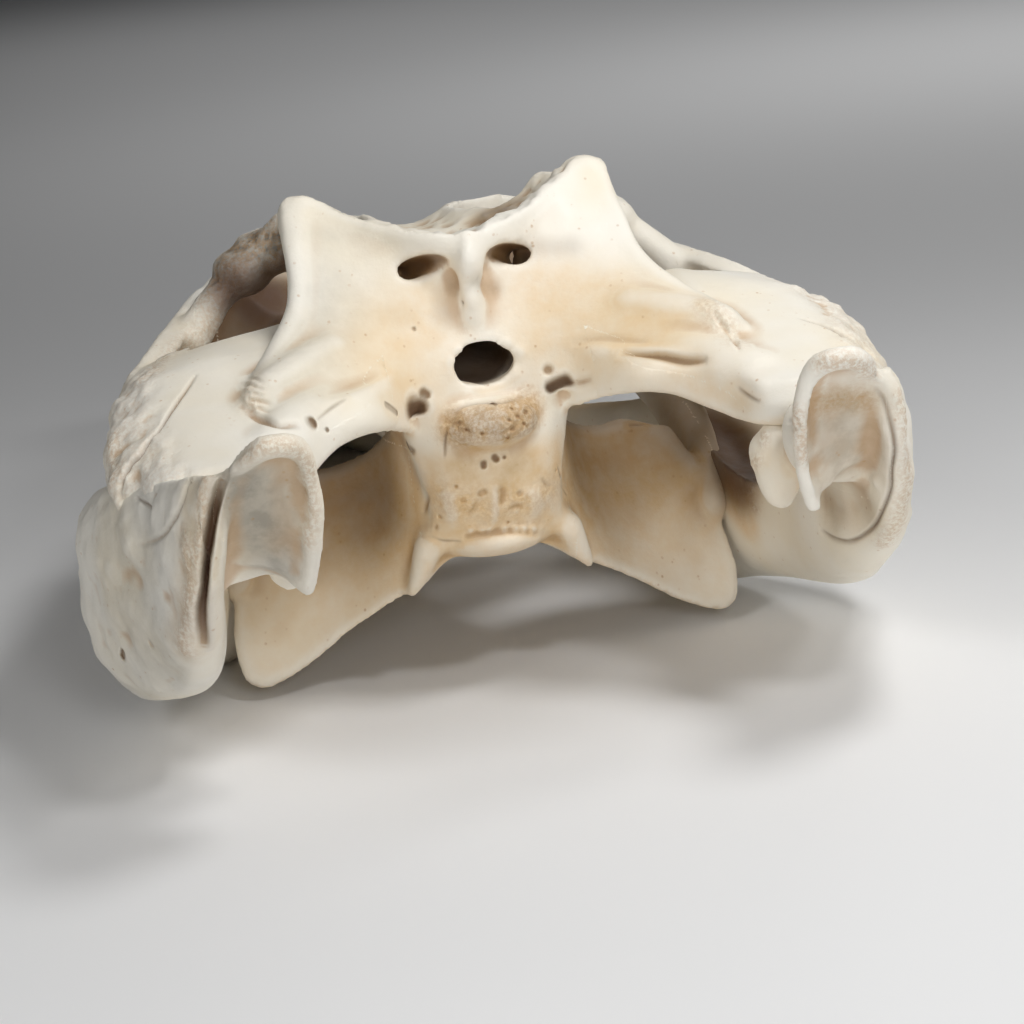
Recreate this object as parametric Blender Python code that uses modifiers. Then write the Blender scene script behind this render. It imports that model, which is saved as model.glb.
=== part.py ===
"""Skull of a large crocodile with its lower jaw, mouth closed, standing on a level floor.

The skull faces +Y, its right side is +X, and the floor is Z = 0. Every length below is in
millimetres and is turned into metres when a mesh is made. Both halves are mirror images.
Each region is put together from slabs, lofts, tubes and balls, run together by a voxel remesh,
opened by Boolean cuts, thinned, and then parted into the bones that a person would name.
"""
import math

import bmesh
import bpy
import numpy as np
from mathutils import Matrix, Vector

NAME = "crocodile_skull"

# Driving sizes, in millimetres.
FLOOR_Z = 4.0
MIDDLE_Y = 207.7
VOXEL = 3.2
GAP = 0.36
SNOUT_TIP_Y = 562.0
FORAMEN_HALF_WIDTH = 15.2
FORAMEN_HALF_HEIGHT = 9.4
FORAMEN_Z = 138.0
CONDYLE_RADII = (18.0, 12.0, 10.0)
TOOTH_SIDES = 6

# Triangles kept by each region before it is parted.
CRANIUM_TRIANGLES = 4700
JAW_TRIANGLES = 1050

# The snout from its root to its tip: distance forward, half width, height of the top, height of
# the edge that carries the teeth, height of the palate.
SNOUT = (
    (156, 102, 171, 88, 80),
    (180, 95, 166, 83, 82),
    (205, 87, 157, 78, 82),
    (245, 78, 144, 71, 79),
    (300, 68, 128, 74, 77),
    (350, 62, 117, 73, 75),
    (385, 65, 111, 62, 71),
    (410, 66, 108, 58, 70),
    (438, 56, 103, 62, 72),
    (462, 40, 99, 74, 75),
    (490, 44, 100, 72, 75),
    (520, 47, 102, 68, 74),
    (545, 38, 96, 68, 74),
    (558, 22, 88, 69, 75),
    (SNOUT_TIP_Y, 8, 82, 72, 76),
)

# The right half of the lower jaw from behind the joint to the chin: distance forward, inner X,
# outer X, lowest Z, highest Z, and how far the top leans outward.
JAW = (
    (-130, 117, 128, 112, 141, -1),
    (-120, 119, 132, 94, 140, -1),
    (-104, 120, 138, 75, 136, 0),
    (-85, 119, 143, 60, 131, 0),
    (-62, 118, 149, 46, 126, 2),
    (-35, 118, 158, 34, 120, 3),
    (0, 118, 167, 24, 113, 2),
    (30, 110, 164, 19, 107, 0),
    (60, 103, 149, 13, 101, -1),
    (80, 98, 137, 8, 96, -1),
    (100, 92, 126, 2.5, 91, 0),
    (140, 80, 109, 1.5, 81, 0),
    (165, 74, 99, 5, 76, 0),
    (200, 66, 88, 12, 70, 0),
    (250, 55, 76, 14, 65, 0),
    (300, 45, 65, 15, 65, 0),
    (350, 35, 57, 13, 62, 0),
    (400, 25, 54, 8, 54, 0),
    (435, 2, 48, 3, 57, 0),
    (462, -8, 39, 2, 63, 0),
    (495, -10, 35, 6, 61, 0),
    (525, -10, 29, 15, 59, 0),
    (545, -8, 17, 26, 57, 0),
    (554, -4, 7, 36, 52, 0),
)

# Upper teeth of one side: distance forward, crown length, crown radius.
UPPER_TEETH = (
    (557, 15, 3.4), (548, 17, 4.0), (534, 22, 5.2), (518, 25, 6.0), (499, 17, 4.4),
    (450, 13, 3.8), (438, 16, 4.6), (424, 21, 5.6), (408, 25, 6.6), (390, 28, 7.4),
    (371, 20, 5.6), (353, 15, 4.6), (336, 15, 4.4), (319, 17, 4.8), (301, 18, 5.2),
    (282, 17, 5.0), (263, 15, 4.6), (244, 13, 4.4), (226, 11, 4.2),
)

# Lower teeth of one side that the closed mouth shows: distance forward, crown length, radius.
LOWER_TEETH = (
    (463, 27, 6.2), (362, 9, 4.2), (345, 10, 4.4), (328, 10, 4.4), (310, 9, 4.4), (292, 9, 4.2),
    (273, 8, 4.0),
)


def clear_scene():
    """Empties the scene."""
    for thing in list(bpy.data.objects):
        bpy.data.objects.remove(thing, do_unlink=True)
    for group in list(bpy.data.collections):
        bpy.data.collections.remove(group)


def spline(points, count):
    """Returns count points on a smooth curve through the given ones (first axis)."""
    points = np.asarray(points, float)
    last = len(points) - 1
    padded = np.concatenate([2 * points[:1] - points[1:2], points, 2 * points[-1:] - points[-2:-1]])
    at = np.linspace(0, last, count)
    low = np.minimum(at.astype(int), last - 1)
    part = (at - low).reshape((-1,) + (1,) * (points.ndim - 1))
    a, b, c, d = (padded[low + k] for k in range(4))
    return 0.5 * (2 * b + (c - a) * part + (2 * a - 5 * b + 4 * c - d) * part ** 2
                  + (3 * b - a - 3 * c + d) * part ** 3)


def grid_faces(rows, columns, first, flip):
    """Returns the quads of a grid whose corners are numbered row by row."""
    quads = []
    for r in range(rows - 1):
        for c in range(columns - 1):
            i = first + r * columns + c
            quad = (i, i + 1, i + columns + 1, i + columns)
            quads.append(quad[::-1] if flip else quad)
    return quads


def slab(grid, offset, rows=14, columns=14):
    """Returns a closed plate between a smooth grid of points and the same grid moved by offset."""
    face = spline(grid, rows)
    face = spline(face.transpose(1, 0, 2), columns).transpose(1, 0, 2)
    back = face + np.asarray(offset, float)
    verts = np.concatenate([face.reshape(-1, 3), back.reshape(-1, 3)])
    half = rows * columns
    quads = grid_faces(rows, columns, 0, False) + grid_faces(rows, columns, half, True)
    edge = [c for c in range(columns - 1)]
    edge += [r * columns + columns - 1 for r in range(rows - 1)]
    edge += [(rows - 1) * columns + c for c in range(columns - 1, 0, -1)]
    edge += [r * columns for r in range(rows - 1, 0, -1)]
    for i, j in zip(edge, edge[1:] + edge[:1]):
        quads.append((j, i, i + half, j + half))
    return verts, quads


def full_width(half_rows):
    """Mirrors rows that run from the middle plane outward into rows across both sides."""
    rows = []
    for row in half_rows:
        left = [(-x, y, z) for x, y, z in row[:0:-1]]
        rows.append(left + [tuple(p) for p in row])
    return rows


def loft(loops):
    """Returns a closed solid skinned over equal closed loops, with a fan at each end."""
    loops = np.asarray(loops, float)
    count, around = loops.shape[:2]
    verts = np.concatenate([loops.reshape(-1, 3), loops[:1].mean(axis=1), loops[-1:].mean(axis=1)])
    quads = []
    for k in range(count - 1):
        for a in range(around):
            b = (a + 1) % around
            quads.append((k * around + a, k * around + b, (k + 1) * around + b, (k + 1) * around + a))
    start = count * around
    for a in range(around):
        b = (a + 1) % around
        quads.append((b, a, start))
        quads.append(((count - 1) * around + a, (count - 1) * around + b, start + 1))
    return verts, quads


def tube(path, radii, sides=12, rings=16, flat=1.0, up=(0.0, 0.0, 1.0)):
    """Returns a round-ended tube along a smooth path; flat scales the section along up."""
    centre = spline(path, rings)
    size = spline(np.asarray(radii, float)[:, None], rings)[:, 0]
    along = np.gradient(centre, axis=0)
    along /= np.linalg.norm(along, axis=1, keepdims=True)
    side = np.cross(along, up)
    side /= np.linalg.norm(side, axis=1, keepdims=True)
    over = np.cross(side, along)
    loops = []
    turn = np.linspace(0, 2 * math.pi, sides, endpoint=False)
    ends = ((0, -1.0), (rings - 1, 1.0))
    order = [(0, -1.0, 75), (0, -1.0, 45)] + [(k, 0.0, 0) for k in range(rings)]
    order += [(ends[1][0], 1.0, 45), (ends[1][0], 1.0, 75)]
    for k, way, angle in order:
        bend = math.radians(angle)
        middle = centre[k] + along[k] * way * size[k] * math.sin(bend)
        reach = size[k] * math.cos(bend)
        loop = middle + reach * (np.outer(np.cos(turn), side[k]) + flat * np.outer(np.sin(turn), over[k]))
        loops.append(loop)
    return loft(loops)


def ball(centre, radii, sides=20, rings=12):
    """Returns an ellipsoid."""
    turn = np.linspace(0, 2 * math.pi, sides, endpoint=False)
    loops = []
    for angle in np.linspace(-math.pi / 2, math.pi / 2, rings + 2)[1:-1]:
        flat = np.stack([np.cos(turn) * math.cos(angle), np.sin(turn) * math.cos(angle),
                         np.full(sides, math.sin(angle))], axis=1)
        loops.append(np.asarray(centre, float) + flat * np.asarray(radii, float))
    return loft(loops)


def mirrored(solid):
    """Returns the solid of the other side."""
    verts, quads = solid
    return verts * np.array([-1.0, 1.0, 1.0]), [q[::-1] for q in quads]


def both(solids):
    """Returns the solids of the right side and of the left side."""
    return list(solids) + [mirrored(s) for s in solids]


def link(name, mesh, group):
    """Makes an object from a mesh in a collection."""
    thing = bpy.data.objects.new(name, mesh)
    group.objects.link(thing)
    return thing


def mesh_object(name, solids, group):
    """Joins solids given in millimetres into one mesh object in metres."""
    verts = []
    faces = []
    count = 0
    for points, quads in solids:
        verts.append(np.asarray(points, float))
        faces.extend(tuple(count + i for i in q) for q in quads)
        count += len(points)
    placed = (np.concatenate(verts) - np.array([0.0, MIDDLE_Y, FLOOR_Z])) * 0.001
    mesh = bpy.data.meshes.new(name)
    mesh.from_pydata(placed.tolist(), [], faces)
    work = bmesh.new()
    work.from_mesh(mesh)
    bmesh.ops.recalc_face_normals(work, faces=work.faces)
    work.to_mesh(mesh)
    work.free()
    return link(name, mesh, group)


def bake(thing):
    """Replaces an object's mesh by the result of its modifiers."""
    seen = bpy.context.evaluated_depsgraph_get()
    mesh = bpy.data.meshes.new_from_object(thing.evaluated_get(seen))
    thing.modifiers.clear()
    thing.data = mesh
    return thing


def keep_largest(thing):
    """Keeps only the largest closed surface, welded and triangulated."""
    work = bmesh.new()
    work.from_mesh(thing.data)
    bmesh.ops.remove_doubles(work, verts=work.verts, dist=0.00001)
    bmesh.ops.triangulate(work, faces=work.faces)
    bmesh.ops.dissolve_degenerate(work, edges=work.edges, dist=0.00001)
    bmesh.ops.triangulate(work, faces=work.faces)
    left = set(work.faces)
    groups = []
    while left:
        stack = [left.pop()]
        group = list(stack)
        while stack:
            face = stack.pop()
            for edge in face.edges:
                for other in edge.link_faces:
                    if other in left:
                        left.remove(other)
                        group.append(other)
                        stack.append(other)
        groups.append(group)
    groups.sort(key=len, reverse=True)
    for group in groups[1:]:
        bmesh.ops.delete(work, geom=group, context="FACES")
    loose = [v for v in work.verts if not v.link_faces]
    bmesh.ops.delete(work, geom=loose, context="VERTS")
    bmesh.ops.recalc_face_normals(work, faces=work.faces)
    work.to_mesh(thing.data)
    work.free()
    return thing


def boolean(thing, cutter, operation):
    """Applies one Boolean with the exact solver."""
    change = thing.modifiers.new("boolean", "BOOLEAN")
    change.operation = operation
    change.solver = "EXACT"
    change.object = cutter
    bake(thing)
    return thing


def blend(thing, voxel, rounds):
    """Runs the joined solids of an object together and smooths the result."""
    fuse = thing.modifiers.new("fuse", "REMESH")
    fuse.mode = "VOXEL"
    fuse.voxel_size = voxel * 0.001
    soft = thing.modifiers.new("soft", "SMOOTH")
    soft.factor = 0.5
    soft.iterations = rounds
    bake(thing)
    return keep_largest(thing)


def thin(thing, triangles):
    """Reduces an object to about the given number of triangles."""
    keep_largest(thing)
    if len(thing.data.polygons) > triangles:
        less = thing.modifiers.new("less", "DECIMATE")
        less.ratio = triangles / len(thing.data.polygons)
        bake(thing)
    return keep_largest(thing)


def snout_loops():
    """Returns the cross-sections of the upper jaw, ridged in front of the eyes."""
    rows = spline(SNOUT, 60)
    loops = []
    for y, w, top, edge, palate in rows:
        h = top - edge
        ridge = 11.0 * math.exp(-((y - 166) / 26.0) ** 2)
        half = [(0, top), (0.3 * w, top + 1.5 + 0.4 * ridge), (0.57 * w, top - 0.03 * h + ridge),
                (0.8 * w, top - 0.2 * h), (0.96 * w, top - 0.5 * h), (w, edge + 0.25 * h),
                (0.98 * w, edge), (0.83 * w, edge), (0.62 * w, palate), (0, palate + 2)]
        ring = [(x, y, z) for x, z in half]
        ring += [(-x, y, z) for x, z in half[-2:0:-1]]
        loops.append(ring)
    return loops


def jaw_loops():
    """Returns the cross-sections of the right half of the lower jaw."""
    rows = spline(JAW, 70)
    turn = np.linspace(0, 2 * math.pi, 20, endpoint=False)
    loops = []
    for y, inner, outer, low, high, lean in rows:
        c = np.sign(np.cos(turn)) * np.abs(np.cos(turn)) ** 0.75
        s = np.sign(np.sin(turn)) * np.abs(np.sin(turn)) ** 0.75
        x = (inner + outer) / 2 + c * (outer - inner) / 2 + lean * s
        z = (low + high) / 2 + s * (high - low) / 2
        loops.append(np.stack([x, np.full(len(turn), y), z], axis=1))
    return loops


def tooth(root, way, length, radius, bend):
    """Returns one curved tooth that stands on its root point and ends in a rounded tip."""
    root = np.asarray(root, float)
    way = np.asarray(way, float)
    bend = np.asarray(bend, float)
    path = []
    for k, (share, _) in enumerate(TOOTH_SHAPE):
        path.append(root + way * length * share + bend * length * max(share, 0.0) ** 2)
    sizes = [radius * size for _, size in TOOTH_SHAPE]
    turn = np.linspace(0, 2 * math.pi, TOOTH_SIDES, endpoint=False)
    loops = []
    for middle, size in zip(path, sizes):
        loops.append(middle + size * np.stack([np.cos(turn), np.sin(turn), 0 * turn], axis=1))
    return loft(loops)


# Places along a tooth from inside its socket to its tip, and its width there.
TOOTH_SHAPE = ((-0.3, 0.9), (0.25, 1.0), (0.7, 0.62), (1.0, 0.14))


def upper_teeth():
    """Returns the upper teeth of the right side."""
    table = spline(SNOUT, 400)
    teeth = []
    for y, length, radius in UPPER_TEETH:
        w, edge = (np.interp(y, table[:, 0], table[:, k]) for k in (1, 3))
        root = (max(w * 0.9 - radius * 0.3, 5.5), y - (3 if y > 550 else 0), edge + 3)
        teeth.append(tooth(root, (0, 0, -1), length + 3, radius, (-0.06, -0.06, 0)))
    return teeth


def lower_teeth():
    """Returns the lower teeth of the right side that the closed mouth shows."""
    table = spline(JAW, 400)
    teeth = []
    for y, length, radius in LOWER_TEETH:
        outer, high = (np.interp(y, table[:, 0], table[:, k]) for k in (2, 4))
        out = 5.0 if y > 450 else 0.0
        root = (outer - radius - 2 + out, y, high - 4)
        teeth.append(tooth(root, (0.12 if out else 0, 0, 1), length + 4, radius, (0, -0.05, 0)))
    return teeth


def cranium_solids():
    """Returns the solids that make up the skull without its lower jaw."""
    occiput = full_width([
        [(0, -6, 122), (14, -7, 122), (30, -12, 125), (46, -26, 131), (60, -35, 136), (76, -40, 137),
         (89, -42, 137), (97, -42, 141)],
        [(0, -4, 142), (14, -6, 142), (30, -9, 144), (45, -18, 146), (60, -27, 148), (74, -34, 149),
         (87, -39, 149), (97, -41, 147)],
        [(0, 2, 160), (14, 3, 161), (30, 0, 161), (45, -5, 160), (57, -9, 160), (68, -14, 159),
         (78, -19, 158), (85, -22, 157)],
        [(0, 6, 176), (14, 10, 178), (28, 10, 178), (41, 9, 177), (52, 7, 176), (61, 5, 174),
         (67, 2, 173), (71, 0, 172)],
        [(0, 1, 187), (13, 4, 189), (25, 12, 190), (38, 20, 193), (49, 26, 197), (57, 29, 199),
         (64, 28, 197), (68, 24, 193)],
        [(0, 1, 190), (13, 3, 192), (24, 10, 194), (36, 20, 198), (46, 30, 203), (55, 36, 208),
         (62, 36, 207), (67, 32, 202)],
    ])
    table = full_width([
        [(0, 0, 190), (13, 3, 192), (24, 10, 194), (36, 20, 198), (46, 30, 203), (56, 36, 208), (66, 34, 204)],
        [(0, 28, 185), (12, 28, 186), (24, 32, 188), (36, 40, 191), (46, 46, 196), (57, 52, 204), (66, 52, 200)],
        [(0, 60, 180), (12, 60, 180), (24, 60, 182), (35, 63, 186), (45, 66, 191), (54, 70, 200), (62, 70, 197)],
        [(0, 92, 179), (11, 92, 180), (21, 92, 182), (31, 91, 185), (41, 89, 190), (49, 88, 198), (57, 86, 195)],
    ])
    forehead = full_width([
        [(0, 86, 179), (10, 86, 180), (20, 88, 183), (30, 90, 186)],
        [(0, 112, 177), (8, 112, 178), (16, 112, 182), (22, 112, 184)],
        [(0, 138, 175), (8, 138, 176), (17, 138, 181), (23, 138, 184)],
        [(0, 162, 171), (16, 162, 173), (34, 162, 179), (50, 162, 181)],
        [(0, 182, 166), (20, 182, 168), (40, 182, 170), (58, 182, 172)],
    ])
    basin = full_width([
        [(0, -8, 124), (12, -8, 124), (24, -7, 124), (35, -2, 124)],
        [(0, -13, 106), (12, -12, 106), (22, -9, 106), (32, -1, 108)],
        [(0, -12, 90), (12, -11, 90), (21, -8, 90), (28, -1, 90)],
        [(0, -7, 75), (12, -6, 75), (20, -4, 75), (27, 0, 75)],
        [(0, 0, 66), (12, 0, 65), (21, 1, 64), (31, 3, 63)],
    ])
    arch = full_width([
        [(0, 4, 78), (12, 3, 77), (22, 3, 74), (30, 4, 70)],
        [(0, 8, 70), (13, 7, 68), (25, 6, 63), (33, 6, 58)],
        [(0, 11, 63), (14, 10, 60), (26, 9, 53), (37, 8, 46)],
    ])
    solids = [
        slab(occiput, (0, 13, 0), 20, 40),
        slab(table, (0, 0, -13), 16, 34),
        slab(forehead, (0, 0, -13), 16, 20),
        slab(basin, (0, 16, 0), 14, 20),
        slab(arch, (0, 12, 3), 8, 20),
        ball((0, -11, 116), CONDYLE_RADII),
        tube([(0, 0, 180), (0, 2, 165), (0, 2, 152)], (6, 5, 4)),
        tube([(0, 34, 152), (0, 60, 152), (0, 92, 158)], (30, 25, 18), 20, 12),
        tube([(0, 34, 118), (0, 52, 122), (0, 72, 130)], (30, 24, 15), 20, 12),
        tube([(0, 26, 92), (0, 40, 96), (0, 60, 104)], (25, 20, 12), 20, 12),
        tube([(0, 90, 160), (0, 130, 158), (0, 170, 150)], (13, 6, 10), 12, 12),
        tube([(0, 16, 66), (0, 50, 66), (0, 95, 70), (0, 140, 78), (0, 190, 86)], (26, 30, 24, 20, 26), 20, 20, 0.36),
        loft(snout_loops()),
    ]
    flange = [
        [(28, 6, 52), (27, 3, 66), (26, 2, 82), (28, 6, 100), (32, 14, 118)],
        [(46, 13, 41), (46, 22, 56), (44, 30, 70), (43, 36, 85), (42, 42, 99)],
        [(62, 22, 30), (64, 33, 45), (62, 42, 60), (59, 48, 76), (57, 52, 91)],
        [(80, 27, 17), (86, 38, 33), (83, 45, 53), (78, 51, 72), (71, 55, 91)],
        [(98, 30, 9), (105, 38, 26), (102, 45, 46), (97, 49, 66), (86, 54, 86)],
        [(107, 34, 13), (108, 41, 28), (104, 47, 48), (99, 51, 67), (89, 56, 87)],
    ]
    quadrate = [
        [(32, -8, 114), (34, -14, 128), (36, -14, 142)],
        [(48, -36, 124), (50, -41, 132), (52, -36, 142)],
        [(64, -46, 124), (66, -49, 132), (68, -45, 142)],
        [(78, -60, 118), (81, -64, 129), (83, -56, 139)],
        [(86, -80, 115), (90, -88, 124), (92, -80, 134)],
        [(100, -86, 115), (104, -92, 124), (106, -86, 133)],
        [(120, -82, 115), (123, -87, 123), (124, -80, 131)],
        [(138, -68, 114), (141, -71, 121), (141, -64, 128)],
    ]
    cheek = [
        [(88, -84, 132), (104, -89, 133), (122, -83, 132), (138, -69, 128), (149, -52, 120)],
        [(80, -52, 139), (98, -50, 141), (118, -46, 142), (137, -40, 138), (151, -36, 127)],
        [(74, -25, 147), (92, -22, 148), (112, -18, 149), (132, -16, 146), (150, -20, 135)],
        [(66, 2, 156), (86, 2, 155), (108, 4, 155), (128, 4, 150), (144, 2, 142)],
        [(58, 40, 163), (76, 42, 160), (98, 42, 156), (118, 40, 152), (132, 38, 147)],
    ]
    bar = [
        [(149, -50, 121), (150, -50, 115), (148, -48, 108)],
        [(151, -28, 132), (151, -28, 122), (150, -26, 109)],
        [(144, 0, 142), (149, 0, 129), (149, 0, 108)],
        [(136, 30, 146), (143, 30, 132), (144, 30, 106)],
        [(122, 60, 154), (134, 60, 137), (137, 60, 102)],
        [(110, 90, 158), (124, 90, 138), (127, 90, 98)],
        [(99, 120, 161), (113, 120, 140), (118, 120, 94)],
        [(90, 150, 160), (103, 150, 138), (108, 150, 88)],
        [(80, 180, 158), (94, 180, 136), (98, 180, 84)],
        [(58, 215, 136), (70, 215, 122), (76, 215, 92)],
    ]
    screen = [
        [(22, 56, 132), (40, 70, 132), (54, 80, 130), (64, 88, 128)],
        [(22, 54, 108), (42, 68, 108), (58, 80, 106), (70, 90, 104)],
        [(22, 50, 82), (42, 64, 82), (60, 78, 82), (74, 90, 82)],
    ]
    wall = [
        [(64, 20, 190), (60, 14, 176), (60, 6, 160), (62, 0, 148)],
        [(63, 42, 198), (54, 40, 180), (50, 34, 164), (50, 30, 150)],
        [(58, 76, 192), (46, 72, 178), (38, 66, 164), (34, 60, 150)],
    ]
    solids += both([
        slab(flange, (-2, 8, 2), 18, 16),
        slab(quadrate, (-4, 22, 0), 24, 8),
        slab(cheek, (-3, 4, -11), 14, 14),
        slab(bar, (-12, 0, -2), 28, 8),
        slab(wall, (-9, 2, 0), 10, 10),
        tube([(34, 20, 132), (52, -5, 134), (74, -34, 134), (94, -64, 128)], (18, 15, 13, 12), 14, 14),
        tube([(60, -10, 152), (76, -24, 149), (90, -36, 145)], (9, 9, 8)),
        ball((65, 99, 178), (18, 20, 10)),
        ball((78, 95, 172), (13, 18, 11)),
        tube([(58, 88, 186), (76, 94, 173), (91, 88, 163), (104, 80, 150)], (10, 8, 7, 8)),
        tube([(64, 30, 175), (72, 38, 166), (82, 46, 157)], (4, 3.5, 4.5)),
        slab(screen, (0, 8, 0), 10, 12),
        tube([(102, 50, 52), (104, 72, 70), (103, 105, 88), (99, 150, 102)], (7, 9, 10, 10), 12, 14, 1.6),
        tube([(29, 4, 66), (33, 6, 56), (37, 8, 47)], (6, 4.5, 2.6)),
    ])
    return solids


def cranium_cutters():
    """Returns the solids of the openings in the skull."""
    return [
        ball((0, 18, FORAMEN_Z), (FORAMEN_HALF_WIDTH, 40, FORAMEN_HALF_HEIGHT + 0.6)),
        ball((0, 521, 108), (14, 17, 26)),
        ball((0, 34, 50), (13, 9, 14)),
    ] + both([
        tube([(12, -4, 179), (17, 8, 178), (23, 18, 175)], (7, 8, 7), 12, 10, 0.55),
        ball((29, 50, 192), (11.5, 17, 26)),
        ball((53, 140, 176), (28, 30, 44)),
        ball((46, 168, 84), (17, 34, 34)),
        ball((50, 130, 120), (34, 32, 36)),
    ])


def jaw_solids():
    """Returns the solids of the right half of the lower jaw."""
    process = [
        [(92, -121, 91), (101, -116, 98), (112, -113, 103), (123, -108, 104)],
        [(91, -124, 104), (100, -119, 109), (112, -117, 111), (124, -112, 112)],
        [(88, -129, 120), (98, -125, 122), (111, -125, 122), (122, -123, 121)],
        [(88, -134, 137), (97, -132, 138), (108, -133, 137), (117, -131, 136)],
        [(92, -139, 148), (98, -143, 151), (105, -143, 150), (112, -138, 145)],
    ]
    rim = [(113, -136, 144), (106, -142, 150), (98, -143, 151), (92, -139, 148), (89, -134, 139),
           (88, -129, 124), (89, -125, 111), (91, -122, 101), (93, -120, 93)]
    edge = [(117, -130, 138), (123, -124, 128), (128, -117, 113), (131, -103, 95), (132, -88, 80),
            (132, -72, 66)]
    return [
        loft(jaw_loops()),
        slab(process, (2, 16, -3), 14, 14),
        tube(rim, (4, 4.5, 4.5, 4.5, 4, 4, 3.8, 3.6, 3.4), 10, 24),
        tube(edge, (5, 5.5, 6, 6, 6, 6), 10, 20),
        tube([(118, -92, 108), (104, -100, 112), (98, -108, 118)], (14, 13, 11), 14, 8, 1.2),
        tube([(118, -80, 106), (104, -80, 105)], (12, 11), 14, 6),
        ball((94, -79, 99.5), (10, 9, 18)),
        tube([(92, -76, 104), (108, -78, 103), (128, -70, 103), (142, -62, 103)], (9, 11, 11, 10), 12, 12),
    ]


def jaw_cutters():
    """Returns the openings of the right half of the lower jaw."""
    return [
        ball((121, 30, 112), (31, 76, 48)),
        ball((108, 98, 52), (40, 24, 10)),
    ]


def half_space_box(planes, grow):
    """Returns a convex block, in metres, bounded by planes given as point and outward normal."""
    work = bmesh.new()
    bmesh.ops.create_cube(work, size=2.4)
    shift = Vector((0.0, MIDDLE_Y, FLOOR_Z)) * 0.001
    for point, normal in planes:
        way = Vector(normal).normalized()
        spot = Vector(point) * 0.001 - shift + way * grow * 0.001
        everything = list(work.verts) + list(work.edges) + list(work.faces)
        cut = bmesh.ops.bisect_plane(work, geom=everything, plane_co=spot, plane_no=way, clear_outer=True)
        rim = [e for e in cut["geom_cut"] if isinstance(e, bmesh.types.BMEdge)]
        bmesh.ops.contextual_create(work, geom=rim)
    bmesh.ops.recalc_face_normals(work, faces=work.faces)
    return work


def region(name, planes, grow, group):
    """Makes a cutter object from a convex block."""
    mesh = bpy.data.meshes.new(name)
    work = half_space_box(planes, grow)
    work.to_mesh(mesh)
    work.free()
    return link(name, mesh, group)


def flip_planes(planes):
    """Returns the planes of the block on the other side."""
    return [((-p[0], p[1], p[2]), (-n[0], n[1], n[2])) for p, n in planes]


# Blocks that part the skull, right side: point and outward normal of each bounding plane.
SNOUT_BLOCK = [((0, 176, 0), (0, -1, 0))]
JUGAL_BLOCK = [((128, -60, 0), (-230, -44, 0)), ((0, 176, 0), (0, 1, 0))]
WING_BLOCK = [((31, 0, 0), (-1, 0, 0)), ((0, 0, 106), (0, 0, 1))]
QUADRATE_BLOCK = [((40, 0, 0), (-1, 0, 0)), ((0, -42, 136), (0, -0.44, 1)), ((0, 30, 0), (0, 1, 0))]
PALATE_BLOCK = [((0, 20, 0), (0, -1, 0)), ((0, 0, 88), (0, 0, 1))]

# Blocks that part the lower jaw, right side.
HINGE_BLOCK = [((0, -58, 0), (0, 1, 0)), ((118, -136, 0), (0.95, -0.3, 0.0)), ((120, 0, 84), (0.5, 0, -1))]
REAR_BLOCK = [((0, 158, 40), (0, 1, 0.35))]


def copy_of(thing, name, group):
    """Returns a copy of an object with its own mesh."""
    return link(name, thing.data.copy(), group)


def part_off(whole, name, planes, group, cutters):
    """Cuts the piece inside a block out of a whole and leaves a thin gap between the two."""
    inner = region(name + "_cut", planes, -GAP / 2, cutters)
    outer = region(name + "_rest", planes, GAP / 2, cutters)
    piece = copy_of(whole, name, group)
    boolean(piece, inner, "INTERSECT")
    keep_largest(piece)
    boolean(whole, outer, "DIFFERENCE")
    keep_largest(whole)
    return piece


def bone_material(name, colour, rough):
    """Makes a plain bone material."""
    made = bpy.data.materials.new(name)
    made.use_nodes = True
    shader = made.node_tree.nodes["Principled BSDF"]
    shader.inputs["Base Color"].default_value = colour
    shader.inputs["Roughness"].default_value = rough
    return made


def centre(nodes):
    """Moves the nodes together so that the middle of their bounding box is at X = 0 and Y = 0."""
    spots = np.array([v.co[:] for node in nodes for v in node.data.vertices])
    middle = (spots.min(axis=0) + spots.max(axis=0)) / 2
    for node in nodes:
        node.data.transform(Matrix.Translation((-middle[0], -middle[1], 0.0)))


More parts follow.
